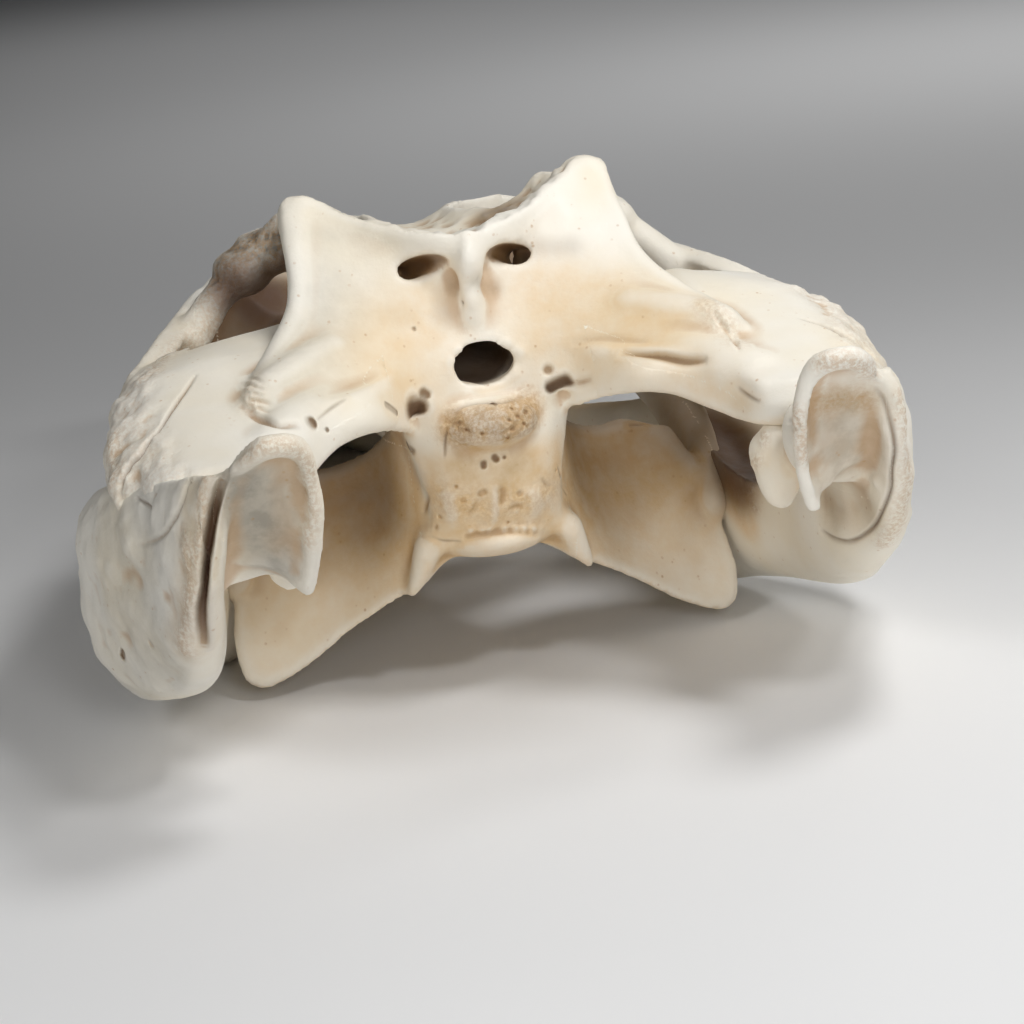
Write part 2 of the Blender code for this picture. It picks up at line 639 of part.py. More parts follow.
def build():
    """Builds the skull as named bones."""
    clear_scene()
    group = bpy.data.collections.new(NAME)
    cutters = bpy.data.collections.new("cutters")
    for made in (group, cutters):
        bpy.context.scene.collection.children.link(made)

    skull = blend(mesh_object("braincase", cranium_solids(), group), VOXEL, 4)
    for index, solid in enumerate(cranium_cutters()):
        boolean(skull, mesh_object("opening_%d" % index, [solid], cutters), "DIFFERENCE")
    thin(skull, CRANIUM_TRIANGLES)
    boolean(skull, mesh_object("upper_teeth", both(upper_teeth()), cutters), "UNION")
    keep_largest(skull)

    jaws = []
    clearance = copy_of(skull, "clearance", cutters)
    swell = clearance.modifiers.new("swell", "DISPLACE")
    swell.strength = 0.001
    swell.mid_level = 0.0
    bake(clearance)
    floor = [((0, 0, FLOOR_Z - GAP / 2), (0, 0, -1))]
    for side in ("right", "left"):
        shapes = jaw_solids()
        holes = jaw_cutters()
        if side == "left":
            shapes = [mirrored(s) for s in shapes]
            holes = [mirrored(s) for s in holes]
        jaw = blend(mesh_object("dentary_" + side, shapes, group), VOXEL, 4)
        for index, solid in enumerate(holes):
            boolean(jaw, mesh_object("hollow_%s_%d" % (side, index), [solid], cutters), "DIFFERENCE")
        thin(jaw, JAW_TRIANGLES)
        teeth = lower_teeth()
        if side == "left":
            teeth = [mirrored(s) for s in teeth]
        boolean(jaw, mesh_object("lower_teeth_" + side, teeth, cutters), "UNION")
        boolean(jaw, clearance, "DIFFERENCE")
        middle = [((0, 0, 0), (-1, 0, 0))]
        planes = floor + (middle if side == "right" else flip_planes(middle))
        boolean(jaw, region("halves_" + side, planes, -GAP / 2, cutters), "INTERSECT")
        keep_largest(jaw)
        jaws.append(jaw)

    nodes = [part_off(skull, "rostrum", SNOUT_BLOCK, group, cutters)]
    for side in ("right", "left"):
        for name, planes in (("jugal", JUGAL_BLOCK), ("pterygoid", WING_BLOCK), ("quadrate", QUADRATE_BLOCK)):
            block = planes if side == "right" else flip_planes(planes)
            nodes.append(part_off(skull, name + "_" + side, block, group, cutters))
    nodes.append(part_off(skull, "palate", PALATE_BLOCK, group, cutters))
    nodes.append(skull)
    for jaw, side in zip(jaws, ("right", "left")):
        for name, planes in (("articular", HINGE_BLOCK), ("angular", REAR_BLOCK)):
            block = planes if side == "right" else flip_planes(planes)
            nodes.append(part_off(jaw, name + "_" + side, block, group, cutters))
        nodes.append(jaw)

    for node in nodes:
        keep_largest(node)
    centre(nodes)
    for index, node in enumerate(nodes):
        tint = (0.80 - 0.01 * (index % 3), 0.74 - 0.01 * (index % 2), 0.62, 1.0)
        node.data.materials.clear()
        node.data.materials.append(bone_material(node.name + "_bone", tint, 0.6))
    cutters.hide_render = True
    for thing in cutters.objects:
        thing.hide_render = True
        thing.display_type = "WIRE"


build()
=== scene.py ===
"""Studio scene of the cleaned skull of a large crocodile with its lower jaw, seen from behind.

Lengths are in millimetres in the maker's frame: the skull faces +Y, its right side is +X and the
floor is a little below Z = 4. Bones are plates, skins, tubes and balls worked out as arrays, run
together at a fine voxel, opened, then carved by marks: sutures, holes, ridges, pits and wear.
"""
import logging
import math
from contextlib import contextmanager
from dataclasses import dataclass
from enum import Enum
from typing import Any, Iterator, Sequence

import bmesh
import bpy
import numpy as np
from mathutils import Matrix, Vector
from mathutils.bvhtree import BVHTree


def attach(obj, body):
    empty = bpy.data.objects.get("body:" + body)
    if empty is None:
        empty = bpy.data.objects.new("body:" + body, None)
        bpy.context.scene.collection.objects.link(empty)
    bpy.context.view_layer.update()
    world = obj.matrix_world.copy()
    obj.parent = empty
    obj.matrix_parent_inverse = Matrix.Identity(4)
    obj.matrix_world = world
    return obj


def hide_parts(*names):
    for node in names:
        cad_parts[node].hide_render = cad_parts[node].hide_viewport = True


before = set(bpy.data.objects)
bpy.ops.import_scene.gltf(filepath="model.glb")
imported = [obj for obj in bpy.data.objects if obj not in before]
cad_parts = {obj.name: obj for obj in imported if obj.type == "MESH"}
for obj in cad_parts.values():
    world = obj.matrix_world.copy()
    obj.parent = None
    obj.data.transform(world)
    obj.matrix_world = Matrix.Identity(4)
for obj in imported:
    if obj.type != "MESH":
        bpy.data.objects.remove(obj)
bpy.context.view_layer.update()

log = logging.getLogger("skull")

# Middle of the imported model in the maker's frame, in millimetres.
ORIGIN = np.array([0.15, 207.05, 4.0])

# A millimetre in metres, and a metre in millimetres.
MM = 0.001
METRE = 1000

# Smoothing rounds of the skin after the openings are cut.
LAST_ROUNDS = 3

# Width of a parting block before its planes trim it, in metres.
BLOCK_SIZE = 2.4

# Points this near to a parting plane, in millimetres, were made by its cut.
CUT_REACH = 0.02

# Marks narrower than these, in millimetres, have the mesh round them halved once, and again.
FINE_REACHES = (3.0, 1.5)

# Rounds of averaging after which hollowness is measured, and the weight of each measure; the hollowness
# paints shade into hollows and a highlight onto ridges.
HOLLOW_WEIGHTS = {3: 1.6, 23: 0.55}

# Angle above which an edge stays sharp, in degrees.
CREASE = 62

Spots = Sequence[tuple[float, float]]
Triple = tuple[float, float, float]
Plane = tuple[Triple, Triple]
Grid = tuple[tuple[Triple, ...], ...]
Parting = tuple[tuple[str, tuple[Plane, ...]], ...]


class Side(Enum):
    """The two halves of the animal, by the sign of X."""

    RIGHT = 1
    LEFT = -1


class Join(Enum):
    """What a Boolean does with its cutter."""

    CUT = "DIFFERENCE"
    KEEP = "INTERSECT"


# Shapes worked out as arrays.


@dataclass(frozen=True)
class Solid:
    """A closed triangle surface: points in millimetres and corner numbers."""

    points: np.ndarray
    faces: np.ndarray

    def mirrored(self) -> "Solid":
        """Returns the solid of the other side."""
        return Solid(self.points * np.array([-1.0, 1.0, 1.0]), self.faces[:, ::-1])

    def on(self, side: Side) -> "Solid":
        """Returns the solid on the given side, from one made for the right."""
        return self if side is Side.RIGHT else self.mirrored()


def placed(points: np.ndarray) -> np.ndarray:
    """Turns millimetres of the maker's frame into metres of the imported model."""
    return (np.asarray(points, float) - ORIGIN) * MM


def spline(points: Any, count: int) -> np.ndarray:
    """Resamples a row of points on a Catmull-Rom curve.

    Formula: between points b and c, half of 2b + (c - a)t + (2a - 5b + 4c - d)t^2
    + (3b - a - 3c + d)t^3, with t the share of the way and a, d the outer neighbours.

    Args:
        points: rows along the first axis.
        count: how many points to return.

    Returns:
        The resampled rows.
    """
    rows = np.asarray(points, float)
    last = len(rows) - 1
    padded = np.concatenate([2 * rows[:1] - rows[1:2], rows, 2 * rows[-1:] - rows[-2:-1]])
    at = np.linspace(0, last, count)
    low = np.minimum(at.astype(int), last - 1)
    t = (at - low).reshape((-1,) + (1,) * (rows.ndim - 1))
    a, b, c, d = (padded[low + k] for k in range(4))
    return 0.5 * (2 * b + (c - a) * t + (2 * a - 5 * b + 4 * c - d) * t ** 2
                  + (3 * b - a - 3 * c + d) * t ** 3)


def split_quads(quads: np.ndarray) -> np.ndarray:
    """Splits an array of quads into triangles."""
    return np.concatenate([quads[:, [0, 1, 2]], quads[:, [0, 2, 3]]])


def skin(loops: np.ndarray) -> Solid:
    """Skins equal closed loops and closes both ends with a fan.

    Args:
        loops: array of loops, points around each, and three coordinates.

    Returns:
        The closed solid.
    """
    rings, around = loops.shape[:2]
    step = np.arange(around)[None]
    after = (step + 1) % around
    base = np.arange(rings - 1)[:, None] * around
    quads = np.stack([base + step, base + after, base + around + after, base + around + step], -1)
    start = rings * around
    end = (rings - 1) * around
    first = np.stack([after[0], step[0], np.full(around, start)], -1)
    final = np.stack([end + step[0], end + after[0], np.full(around, start + 1)], -1)
    points = np.concatenate([loops.reshape(-1, 3), loops[:1].mean(axis=1), loops[-1:].mean(axis=1)])
    return Solid(points, np.concatenate([split_quads(quads.reshape(-1, 4)), first, final]))


def plate(grid: Any, offset: Sequence[float], rows: int, columns: int) -> Solid:
    """Makes a curved plate: a spline surface through a grid, and the same moved by an offset.

    Formula: the grid is resampled by the spline along both of its directions.

    Args:
        grid: rows of points.
        offset: how far the back lies from the front.
        rows: points of the finished surface one way.
        columns: points of it the other way.

    Returns:
        The closed plate.
    """
    face = spline(spline(grid, rows).transpose(1, 0, 2), columns).transpose(1, 0, 2)
    back = face + np.asarray(offset, float)
    number = np.arange(rows * columns).reshape(rows, columns)
    quads = np.stack([number[:-1, :-1], number[:-1, 1:], number[1:, 1:], number[1:, :-1]], -1)
    quads = quads.reshape(-1, 4)
    half = rows * columns
    rim = np.concatenate([number[0, :-1], number[:-1, -1], number[-1, :0:-1], number[:0:-1, 0]])
    after = np.roll(rim, -1)
    side = np.stack([after, rim, rim + half, after + half], -1)
    faces = split_quads(np.concatenate([quads, quads[:, ::-1] + half, side]))
    return Solid(np.concatenate([face.reshape(-1, 3), back.reshape(-1, 3)]), faces)


def across(half_rows: Any) -> list[list[tuple[float, float, float]]]:
    """Mirrors rows that run outward from the middle plane into rows across both sides."""
    return [[(-x, y, z) for x, y, z in row[:0:-1]] + [tuple(p) for p in row] for row in half_rows]


def tube(path: Any, radii: Sequence[float], sides: int = 20, rings: int = 24, flat: float = 1.0,
         up: Sequence[float] = (0.0, 0.0, 1.0)) -> Solid:
    """Carries a round profile along a smooth path and rounds both ends.

    Formula: each ring is centre + radius (cos a side + flat sin a over); an end ring is moved
    along the path by radius sin b and shrunk by cos b.

    Args:
        path: points that the tube follows.
        radii: its radius at each point.
        sides: points around.
        rings: rings along.
        flat: scale of the profile along the second direction.
        up: direction that the second direction keeps closest to.

    Returns:
        The closed tube.
    """
    centre = spline(path, rings)
    size = spline(np.asarray(radii, float)[:, None], rings)[:, 0]
    along = np.gradient(centre, axis=0)
    along /= np.linalg.norm(along, axis=1, keepdims=True)
    side = np.cross(along, up)
    side /= np.linalg.norm(side, axis=1, keepdims=True)
    over = np.cross(side, along)
    bend = np.radians([75.0, 50.0, 25.0])
    order = np.concatenate([[0, 0, 0], np.arange(rings), [rings - 1] * 3])
    angle = np.concatenate([-bend, np.zeros(rings), bend[::-1]])
    middle = centre[order] + along[order] * (size[order] * np.sin(angle))[:, None]
    reach = (size[order] * np.cos(angle))[:, None, None]
    turn = np.linspace(0, 2 * math.pi, sides, endpoint=False)
    round_part = (np.cos(turn)[None, :, None] * side[order][:, None]
                  + flat * np.sin(turn)[None, :, None] * over[order][:, None])
    return skin(middle[:, None] + reach * round_part)


def ball(centre: Sequence[float], radii: Sequence[float], sides: int = 32, rings: int = 18) -> Solid:
    """Makes an ellipsoid: centre + radii (cos a cos b, sin a cos b, sin b)."""
    turn = np.linspace(0, 2 * math.pi, sides, endpoint=False)[None]
    rise = np.linspace(-math.pi / 2, math.pi / 2, rings + 2)[1:-1, None]
    unit = np.stack([np.cos(turn) * np.cos(rise), np.sin(turn) * np.cos(rise),
                     np.sin(rise) + 0 * turn], -1)
    return skin(np.asarray(centre, float) + unit * np.asarray(radii, float))


def pair(solids: Sequence[Solid]) -> list[Solid]:
    """Returns the solids of the right side and of the left side."""
    return list(solids) + [s.mirrored() for s in solids]


# Noise worked out as arrays.


def scatter(cell: np.ndarray, seed: int) -> np.ndarray:
    """Hashes whole-number cells to values from 0 to 1 by multiplying, xoring and shifting bits.

    Args:
        cell: whole numbers, three a row.
        seed: which hash.

    Returns:
        One value a row.
    """
    value = cell.astype(np.int64).astype(np.uint32)
    mixed = value[..., 0] * np.uint32(73856093) ^ value[..., 1] * np.uint32(19349663)
    mixed = mixed ^ value[..., 2] * np.uint32(83492791) ^ np.uint32(seed * 2654435 + 97)
    mixed = (mixed ^ (mixed >> np.uint32(15))) * np.uint32(2246822519)
    mixed = (mixed ^ (mixed >> np.uint32(13))) * np.uint32(3266489917)
    mixed = mixed ^ (mixed >> np.uint32(16))
    return mixed.astype(float) / 4294967295.0


def noise(points: np.ndarray, size: float, seed: int, octaves: int = 3) -> np.ndarray:
    """Returns smooth value noise from -1 to 1.

    Formula: hashed values at the corners of cells of the given size are blended by 3t^2 - 2t^3;
    each further octave halves the size and the weight.

    Args:
        points: places in millimetres.
        size: cell size in millimetres.
        seed: which noise.
        octaves: how many sizes are added.

    Returns:
        One value a point.
    """
    total = np.zeros(len(points))
    weight = 1.0
    whole = 0.0
    for octave in range(octaves):
        spot = points / (size * 0.5 ** octave)
        cell = np.floor(spot)
        t = spot - cell
        t = t * t * (3 - 2 * t)
        value = np.zeros(len(points))
        for corner in np.ndindex(2, 2, 2):
            share = np.prod(np.where(np.array(corner) == 1, t, 1 - t), axis=1)
            value += share * scatter(cell + np.array(corner), seed + octave * 17)
        total += weight * (value * 2 - 1)
        whole += weight
        weight *= 0.5
    return total / whole


def cells(points: np.ndarray, size: float, seed: int) -> np.ndarray:
    """Returns the distance to the nearest of one scattered point a cell, in cell sizes.

    Formula: the least distance over the 27 cells round the point.

    Args:
        points: places in millimetres.
        size: cell size in millimetres.
        seed: which scattering.

    Returns:
        One distance a point.
    """
    spot = points / size
    cell = np.floor(spot)
    best = np.full(len(points), 9.0)
    for move in np.ndindex(3, 3, 3):
        near = cell + np.array(move) - 1
        seedling = np.stack([scatter(near, seed + k) for k in range(3)], -1)
        best = np.minimum(best, np.sum((near + 0.15 + 0.7 * seedling - spot) ** 2, axis=1))
    return np.sqrt(best)


def smooth_step(value: np.ndarray, low: float, high: float) -> np.ndarray:
    """Rises from 0 at low to 1 at high by 3t^2 - 2t^3."""
    t = np.clip((value - low) / (high - low), 0, 1)
    return t * t * (3 - 2 * t)


def patches(points: np.ndarray, size: float, seed: int) -> np.ndarray:
    """Returns a share from 0.12 to 1 that comes and goes over patches of the given size."""
    return np.clip(0.62 + 0.75 * noise(points, size, seed, 2), 0.12, 1)


# Meshes.


def read(rows: Any, name: str, width: int, kind: type = np.float32) -> np.ndarray:
    """Reads one property of a mesh's elements.

    Args:
        rows: the elements, such as its vertices.
        name: name of the property.
        width: how many numbers each element has.
        kind: type of the numbers.

    Returns:
        One row an element.
    """
    flat = np.empty(len(rows) * width, kind)
    rows.foreach_get(name, flat)
    return flat.reshape(-1, width)


def read_points(thing: bpy.types.Object) -> np.ndarray:
    """Returns an object's points in millimetres of the maker's frame."""
    return read(thing.data.vertices, "co", 3).astype(float) * METRE + ORIGIN


def read_normals(thing: bpy.types.Object) -> np.ndarray:
    """Returns an object's point normals."""
    return read(thing.data.vertex_normals, "vector", 3).astype(float)


def read_edges(thing: bpy.types.Object) -> np.ndarray:
    """Returns an object's edges as pairs of point numbers."""
    return read(thing.data.edges, "vertices", 2, np.int32)


def mean_of_neighbours(values: np.ndarray, edges: np.ndarray) -> np.ndarray:
    """Averages the rows of the points that share an edge with each point.

    Args:
        values: one row a point.
        edges: pairs of point numbers.

    Returns:
        The mean rows.
    """
    count = len(values)
    ends = np.concatenate([edges[:, 0], edges[:, 1]])
    starts = np.concatenate([edges[:, 1], edges[:, 0]])
    degree = np.maximum(np.bincount(ends, minlength=count), 1)
    columns = [np.bincount(ends, weights=values[starts, k], minlength=count) / degree
               for k in range(values.shape[1])]
    return np.stack(columns, -1)


def linked(name: str, data: bpy.types.ID) -> bpy.types.Object:
    """Makes an object of a mesh, lamp or camera and links it to the scene."""
    thing = bpy.data.objects.new(name, data)
    bpy.context.scene.collection.objects.link(thing)
    return thing


@contextmanager
def edited(mesh: bpy.types.Mesh) -> Iterator[bmesh.types.BMesh]:
    """Opens a mesh for changes and writes them back."""
    work = bmesh.new()
    work.from_mesh(mesh)
    yield work
    work.to_mesh(mesh)
    work.free()


def lay_mesh(name: str, solids: Sequence[Solid]) -> bpy.types.Object:
    """Joins solids into one mesh object with outward normals.

    Args:
        name: name of the object.
        solids: the closed solids, which may overlap.

    Returns:
        The object, linked to the scene.
    """
    starts = np.cumsum([0] + [len(s.points) for s in solids[:-1]])
    faces = np.concatenate([s.faces + start for s, start in zip(solids, starts)])
    mesh = bpy.data.meshes.new(name)
    mesh.from_pydata(placed(np.concatenate([s.points for s in solids])).tolist(), [], faces.tolist())
    with edited(mesh) as work:
        bmesh.ops.recalc_face_normals(work, faces=work.faces)
    return linked(name, mesh)


def drop(thing: bpy.types.Object) -> None:
    """Removes an object."""
    bpy.data.objects.remove(thing, do_unlink=True)


def bake(thing: bpy.types.Object) -> None:
    """Replaces an object's mesh by the result of its modifiers."""
    seen = bpy.context.evaluated_depsgraph_get()
    mesh = bpy.data.meshes.new_from_object(thing.evaluated_get(seen))
    thing.modifiers.clear()
    thing.data = mesh


def fuse(thing: bpy.types.Object, voxel: float, rounds: int) -> None:
    """Runs the joined solids together on a voxel grid and smooths the skin.

    Args:
        thing: the object.
        voxel: grid size in millimetres.
        rounds: smoothing rounds.
    """
    remesh = thing.modifiers.new("fuse", "REMESH")
    remesh.mode = "VOXEL"
    remesh.voxel_size = voxel * MM
    if rounds:
        soft = thing.modifiers.new("soft", "SMOOTH")
        soft.factor = 0.5
        soft.iterations = rounds
    bake(thing)


def join(thing: bpy.types.Object, cutter: bpy.types.Object, how: Join) -> None:
    """Applies one Boolean.

    Args:
        thing: the object that is changed.
        cutter: the other object, left as it is.
        how: what is kept.
    """
    change = thing.modifiers.new("join", "BOOLEAN")
    change.operation = how.value
    change.solver = "MANIFOLD"
    change.object = cutter
    bake(thing)


def keep_largest(thing: bpy.types.Object) -> None:
    """Removes every island of the mesh but the one with the most points.

    Formula: each point takes the lowest number among itself and its neighbours until none
    changes.

    Args:
        thing: the object.
    """
    edges = read_edges(thing)
    label = np.arange(len(thing.data.vertices))
    while True:
        low = np.minimum(label[edges[:, 0]], label[edges[:, 1]])
        fresh = label.copy()
        np.minimum.at(fresh, edges[:, 0], low)
        np.minimum.at(fresh, edges[:, 1], low)
        fresh = fresh[fresh]
        if np.array_equal(fresh, label):
            break
        label = fresh
    names, sizes = np.unique(label, return_counts=True)
    if len(names) < 2:
        return
    keep = label == names[np.argmax(sizes)]
    with edited(thing.data) as work:
        extra = [v for v, kept in zip(work.verts, keep) if not kept]
        bmesh.ops.delete(work, geom=extra, context="VERTS")


def shaped(name: str, solids: Sequence[Solid], openings: Sequence[Solid], voxel: float,
           rounds: int) -> bpy.types.Object:
    """Runs solids together, cuts the openings and runs the skin together once more.

    Args:
        name: name of the object.
        solids: the solids.
        openings: the solids of the openings.
        voxel: grid size in millimetres.
        rounds: smoothing rounds before the openings are cut.

    Returns:
        The object.
    """
    whole = lay_mesh(name, solids)
    fuse(whole, voxel, rounds)
    for opening in openings:
        cutter = lay_mesh("opening", [opening])
        join(whole, cutter, Join.CUT)
        drop(cutter)
    keep_largest(whole)
    fuse(whole, voxel, LAST_ROUNDS)
    keep_largest(whole)
    return whole


def block(planes: Sequence[Plane], side: Side) -> bpy.types.Object:
    """Makes a convex block bounded by planes.

    Args:
        planes: point and outward normal of each, for the right.
        side: the side it is made for.

    Returns:
        The block, linked to the scene.
    """
    mesh = bpy.data.meshes.new("block")
    with edited(mesh) as work:
        bmesh.ops.create_cube(work, size=BLOCK_SIZE)
        for point, normal in planes:
            way = Vector((normal[0] * side.value, normal[1], normal[2])).normalized()
            spot = Vector(placed((point[0] * side.value, point[1], point[2])))
            geom = list(work.verts) + list(work.edges) + list(work.faces)
            cut = bmesh.ops.bisect_plane(work, geom=geom, plane_co=spot, plane_no=way,
                                         clear_outer=True)
            rim = [e for e in cut["geom_cut"] if isinstance(e, bmesh.types.BMEdge)]
            bmesh.ops.contextual_create(work, geom=rim)
        bmesh.ops.recalc_face_normals(work, faces=work.faces)
    return linked("block", mesh)


def heal_tones(thing: bpy.types.Object, planes: Sequence[Plane], side: Side) -> None:
    """Gives the points made by a cut the mean tones of the neighbours beside the cut.

    Args:
        thing: the cut object.
        planes: the planes of the cut, for the right.
        side: the side that was cut.
    """
    points = read_points(thing)
    fresh = np.zeros(len(points), bool)
    for point, normal in planes:
        way = np.array(normal, float) * (side.value, 1, 1)
        away = (points - np.array(point, float) * (side.value, 1, 1)) @ (way / np.linalg.norm(way))
        fresh |= np.abs(away) < CUT_REACH
    edges = read_edges(thing)
    known = (~fresh).astype(float)[:, None]
    weight = np.maximum(mean_of_neighbours(known, edges)[:, 0], 1e-6)
    for kept in thing.data.attributes:
        if kept.domain == "POINT" and kept.data_type == "FLOAT":
            values = np.empty(len(points), np.float32)
            kept.data.foreach_get("value", values)
            mean = mean_of_neighbours(values[:, None] * known, edges)[:, 0] / weight
            values[fresh] = mean[fresh]
            kept.data.foreach_set("value", values)


def part_off(whole: bpy.types.Object, name: str, planes: Sequence[Plane],
             side: Side) -> bpy.types.Object:
    """Cuts the piece inside a block out of a whole, so that the two still meet.

    Args:
        whole: what is cut.
        name: name of the piece.
        planes: bounds of the block, for the right.
        side: the side that is cut.

    Returns:
        The piece.
    """
    cutter = block(planes, side)
    piece = linked(name, whole.data.copy())
    join(piece, cutter, Join.KEEP)
    join(whole, cutter, Join.CUT)
    for thing in (piece, whole):
        keep_largest(thing)
        heal_tones(thing, planes, side)
    drop(cutter)
    return piece


def part_all(whole: bpy.types.Object, parting: Parting,
             side: Side | None = None) -> list[tuple[bpy.types.Object, str]]:
    """Cuts named bones out of a whole, one after the other.

    Args:
        whole: what is cut.
        parting: each bone's name and the bounds of its block, for the right.
        side: the side that is cut, or None for bones across the middle.

    Returns:
        Each piece with the name of its node.
    """
    pieces = []
    for name, planes in parting:
        node = name if side is None else name + "_" + side.name.lower()
        pieces.append((part_off(whole, node + "_bone", planes, side or Side.RIGHT), node))
    return pieces


# The fitted view.


@dataclass(frozen=True)
class Sight:
    """The fitted camera: turn, tilt and roll in degrees, focal length in picture points."""

    turn: float = 11.0
    tilt: float = 15.0
    roll: float = -6.4
    focal: float = 2735.0
    distance: float = 1048.0
    target: Triple = (-2.0, -40.0, 87.0)
    picture: float = 1024.0

    def axes(self) -> tuple[np.ndarray, np.ndarray, np.ndarray]:
        """Returns the directions to the right, up and forward of the view."""
        turn, tilt, roll = (math.radians(v) for v in (self.turn, self.tilt, self.roll))
        forward = np.array([math.sin(turn) * math.cos(tilt), math.cos(turn) * math.cos(tilt),
                            -math.sin(tilt)])
        level = np.cross(forward, (0.0, 0.0, 1.0))
        level /= np.linalg.norm(level)
        over = np.cross(level, forward)
        right = math.cos(roll) * level + math.sin(roll) * over
        return right, math.cos(roll) * over - math.sin(roll) * level, forward

    def place(self) -> np.ndarray:
        """Returns where the camera stands, in millimetres."""
        return np.array(self.target) - self.axes()[2] * self.distance

    def cast(self, tree: BVHTree, spots: Spots) -> np.ndarray:
        """Finds where the sight lines through spots of the picture meet a surface.

        Args:
            tree: the surface.
            spots: places in the picture, in points from its upper left corner.

        Returns:
            The places that were met, in millimetres.
        """
        right, up, forward = self.axes()
        eye = Vector(placed(self.place()))
        found = []
        for along, down in spots:
            way = forward + right * (along - self.picture / 2) / self.focal
            way = way - up * (down - self.picture / 2) / self.focal
            hit = tree.ray_cast(eye, Vector(way).normalized())[0]
            if hit is not None:
                found.append(np.array(hit) * METRE + ORIGIN)
        return np.array(found).reshape(-1, 3)


@dataclass(frozen=True)
class Mark:
    """One mark on the bone: where it runs in the back view, and what it does there."""

    spots: Spots
    reach: float
    height: float = 0.0
    square: float = 1.0
    warm: float = 0.0
    stain: float = 0.0
    grey_and_shade: float = 0.0
    rough: float = 0.0
    inward: bool = False
    taper: float = 0.0


def crack(*spots: tuple[float, float], reach: float = 0.9, depth: float = 1.1,
          stain: float = 0.55) -> Mark:
    """Returns a thin stained crack or suture."""
    return Mark(spots, reach, -depth, 1.0, stain=stain, taper=0.45)


def groove(*spots: tuple[float, float], reach: float, depth: float, stain: float = 0.2) -> Mark:
    """Returns a rounded furrow that fades out at both ends."""
    return Mark(spots, reach, -depth, 1.2, stain=stain, taper=0.6)


def hole(*spots: tuple[float, float], reach: float, depth: float, stain: float = 0.7) -> Mark:
    """Returns a steep-sided hole or slit that runs away from the eye, with painted shade inside it."""
    return Mark(spots, reach, -depth, 2.2, stain=stain, inward=True)


# Tones kept as point attributes: warm colour, stains with painted shade, grey dirt with painted shade, and
# spongy roughness.
TONES = ("warm", "stain", "grey_and_shade", "rough")


def away_from(spots: np.ndarray, line: np.ndarray) -> tuple[np.ndarray, np.ndarray]:
    """Measures how far points are from a bent line.

    Formula: on each straight piece the foot of the perpendicular, kept between its ends, is
    found for all points together, and the nearest one counts.

    Args:
        spots: the points.
        line: corners of the line.

    Returns:
        The distance, and the share of the way along the line.
    """
    if len(line) == 1:
        return np.linalg.norm(spots - line[0], axis=1), np.full(len(spots), 0.5)
    best = np.full(len(spots), 1e9)
    share = np.zeros(len(spots))
    for number, (start, end) in enumerate(zip(line[:-1], line[1:])):
        run = end - start
        t = np.clip((spots - start) @ run / max(run @ run, 1e-9), 0, 1)
        away = np.linalg.norm(spots - start - t[:, None] * run, axis=1)
        nearer = away < best
        best[nearer] = away[nearer]
        share[nearer] = (number + t[nearer]) / (len(line) - 1)
    return best, share


def near_line(points: np.ndarray, line: np.ndarray, far: float) -> np.ndarray:
    """Finds the points in the upright box round a line.

    Args:
        points: the points.
        line: corners of the line.
        far: how far the box reaches beyond the line.

    Returns:
        The numbers of the points.
    """
    above = points > line.min(axis=0) - far
    return np.flatnonzero(np.all(above & (points < line.max(axis=0) + far), axis=1))


def refine(thing: bpy.types.Object, sight: Sight, marks: Sequence[Mark]) -> None:
    """Halves the edges of the mesh around fine marks, and halves them again round the finest.

    Args:
        thing: the fused object.
        sight: the view in which the marks are placed.
        marks: the marks that are to come.
    """
    tree = BVHTree.FromObject(thing, bpy.context.evaluated_depsgraph_get())
    fine = [mark for mark in marks if mark.height and mark.reach < FINE_REACHES[0]]
    lines = [(mark, sight.cast(tree, mark.spots)) for mark in fine]
    for limit in FINE_REACHES:
        points = read_points(thing)
        wanted = np.zeros(len(points), bool)
        for mark, line in lines:
            if not len(line) or mark.reach >= limit:
                continue
            line = spline(line, 3 * len(line)) if len(line) > 2 else line
            far = mark.reach * 1.5 + 1.2
            near = near_line(points, line, far)
            wanted[near[away_from(points[near], line)[0] < far]] = True
        with edited(thing.data) as work:
            work.verts.ensure_lookup_table()
            chosen = [work.verts[i] for i in np.flatnonzero(wanted)]
            work.edges.index_update()
            edges = sorted({e for v in chosen for e in v.link_edges}, key=lambda e: e.index)
            bmesh.ops.subdivide_edges(work, edges=edges, cuts=1, use_grid_fill=True)
            bmesh.ops.triangulate(work, faces=[f for f in work.faces if len(f.verts) > 4])


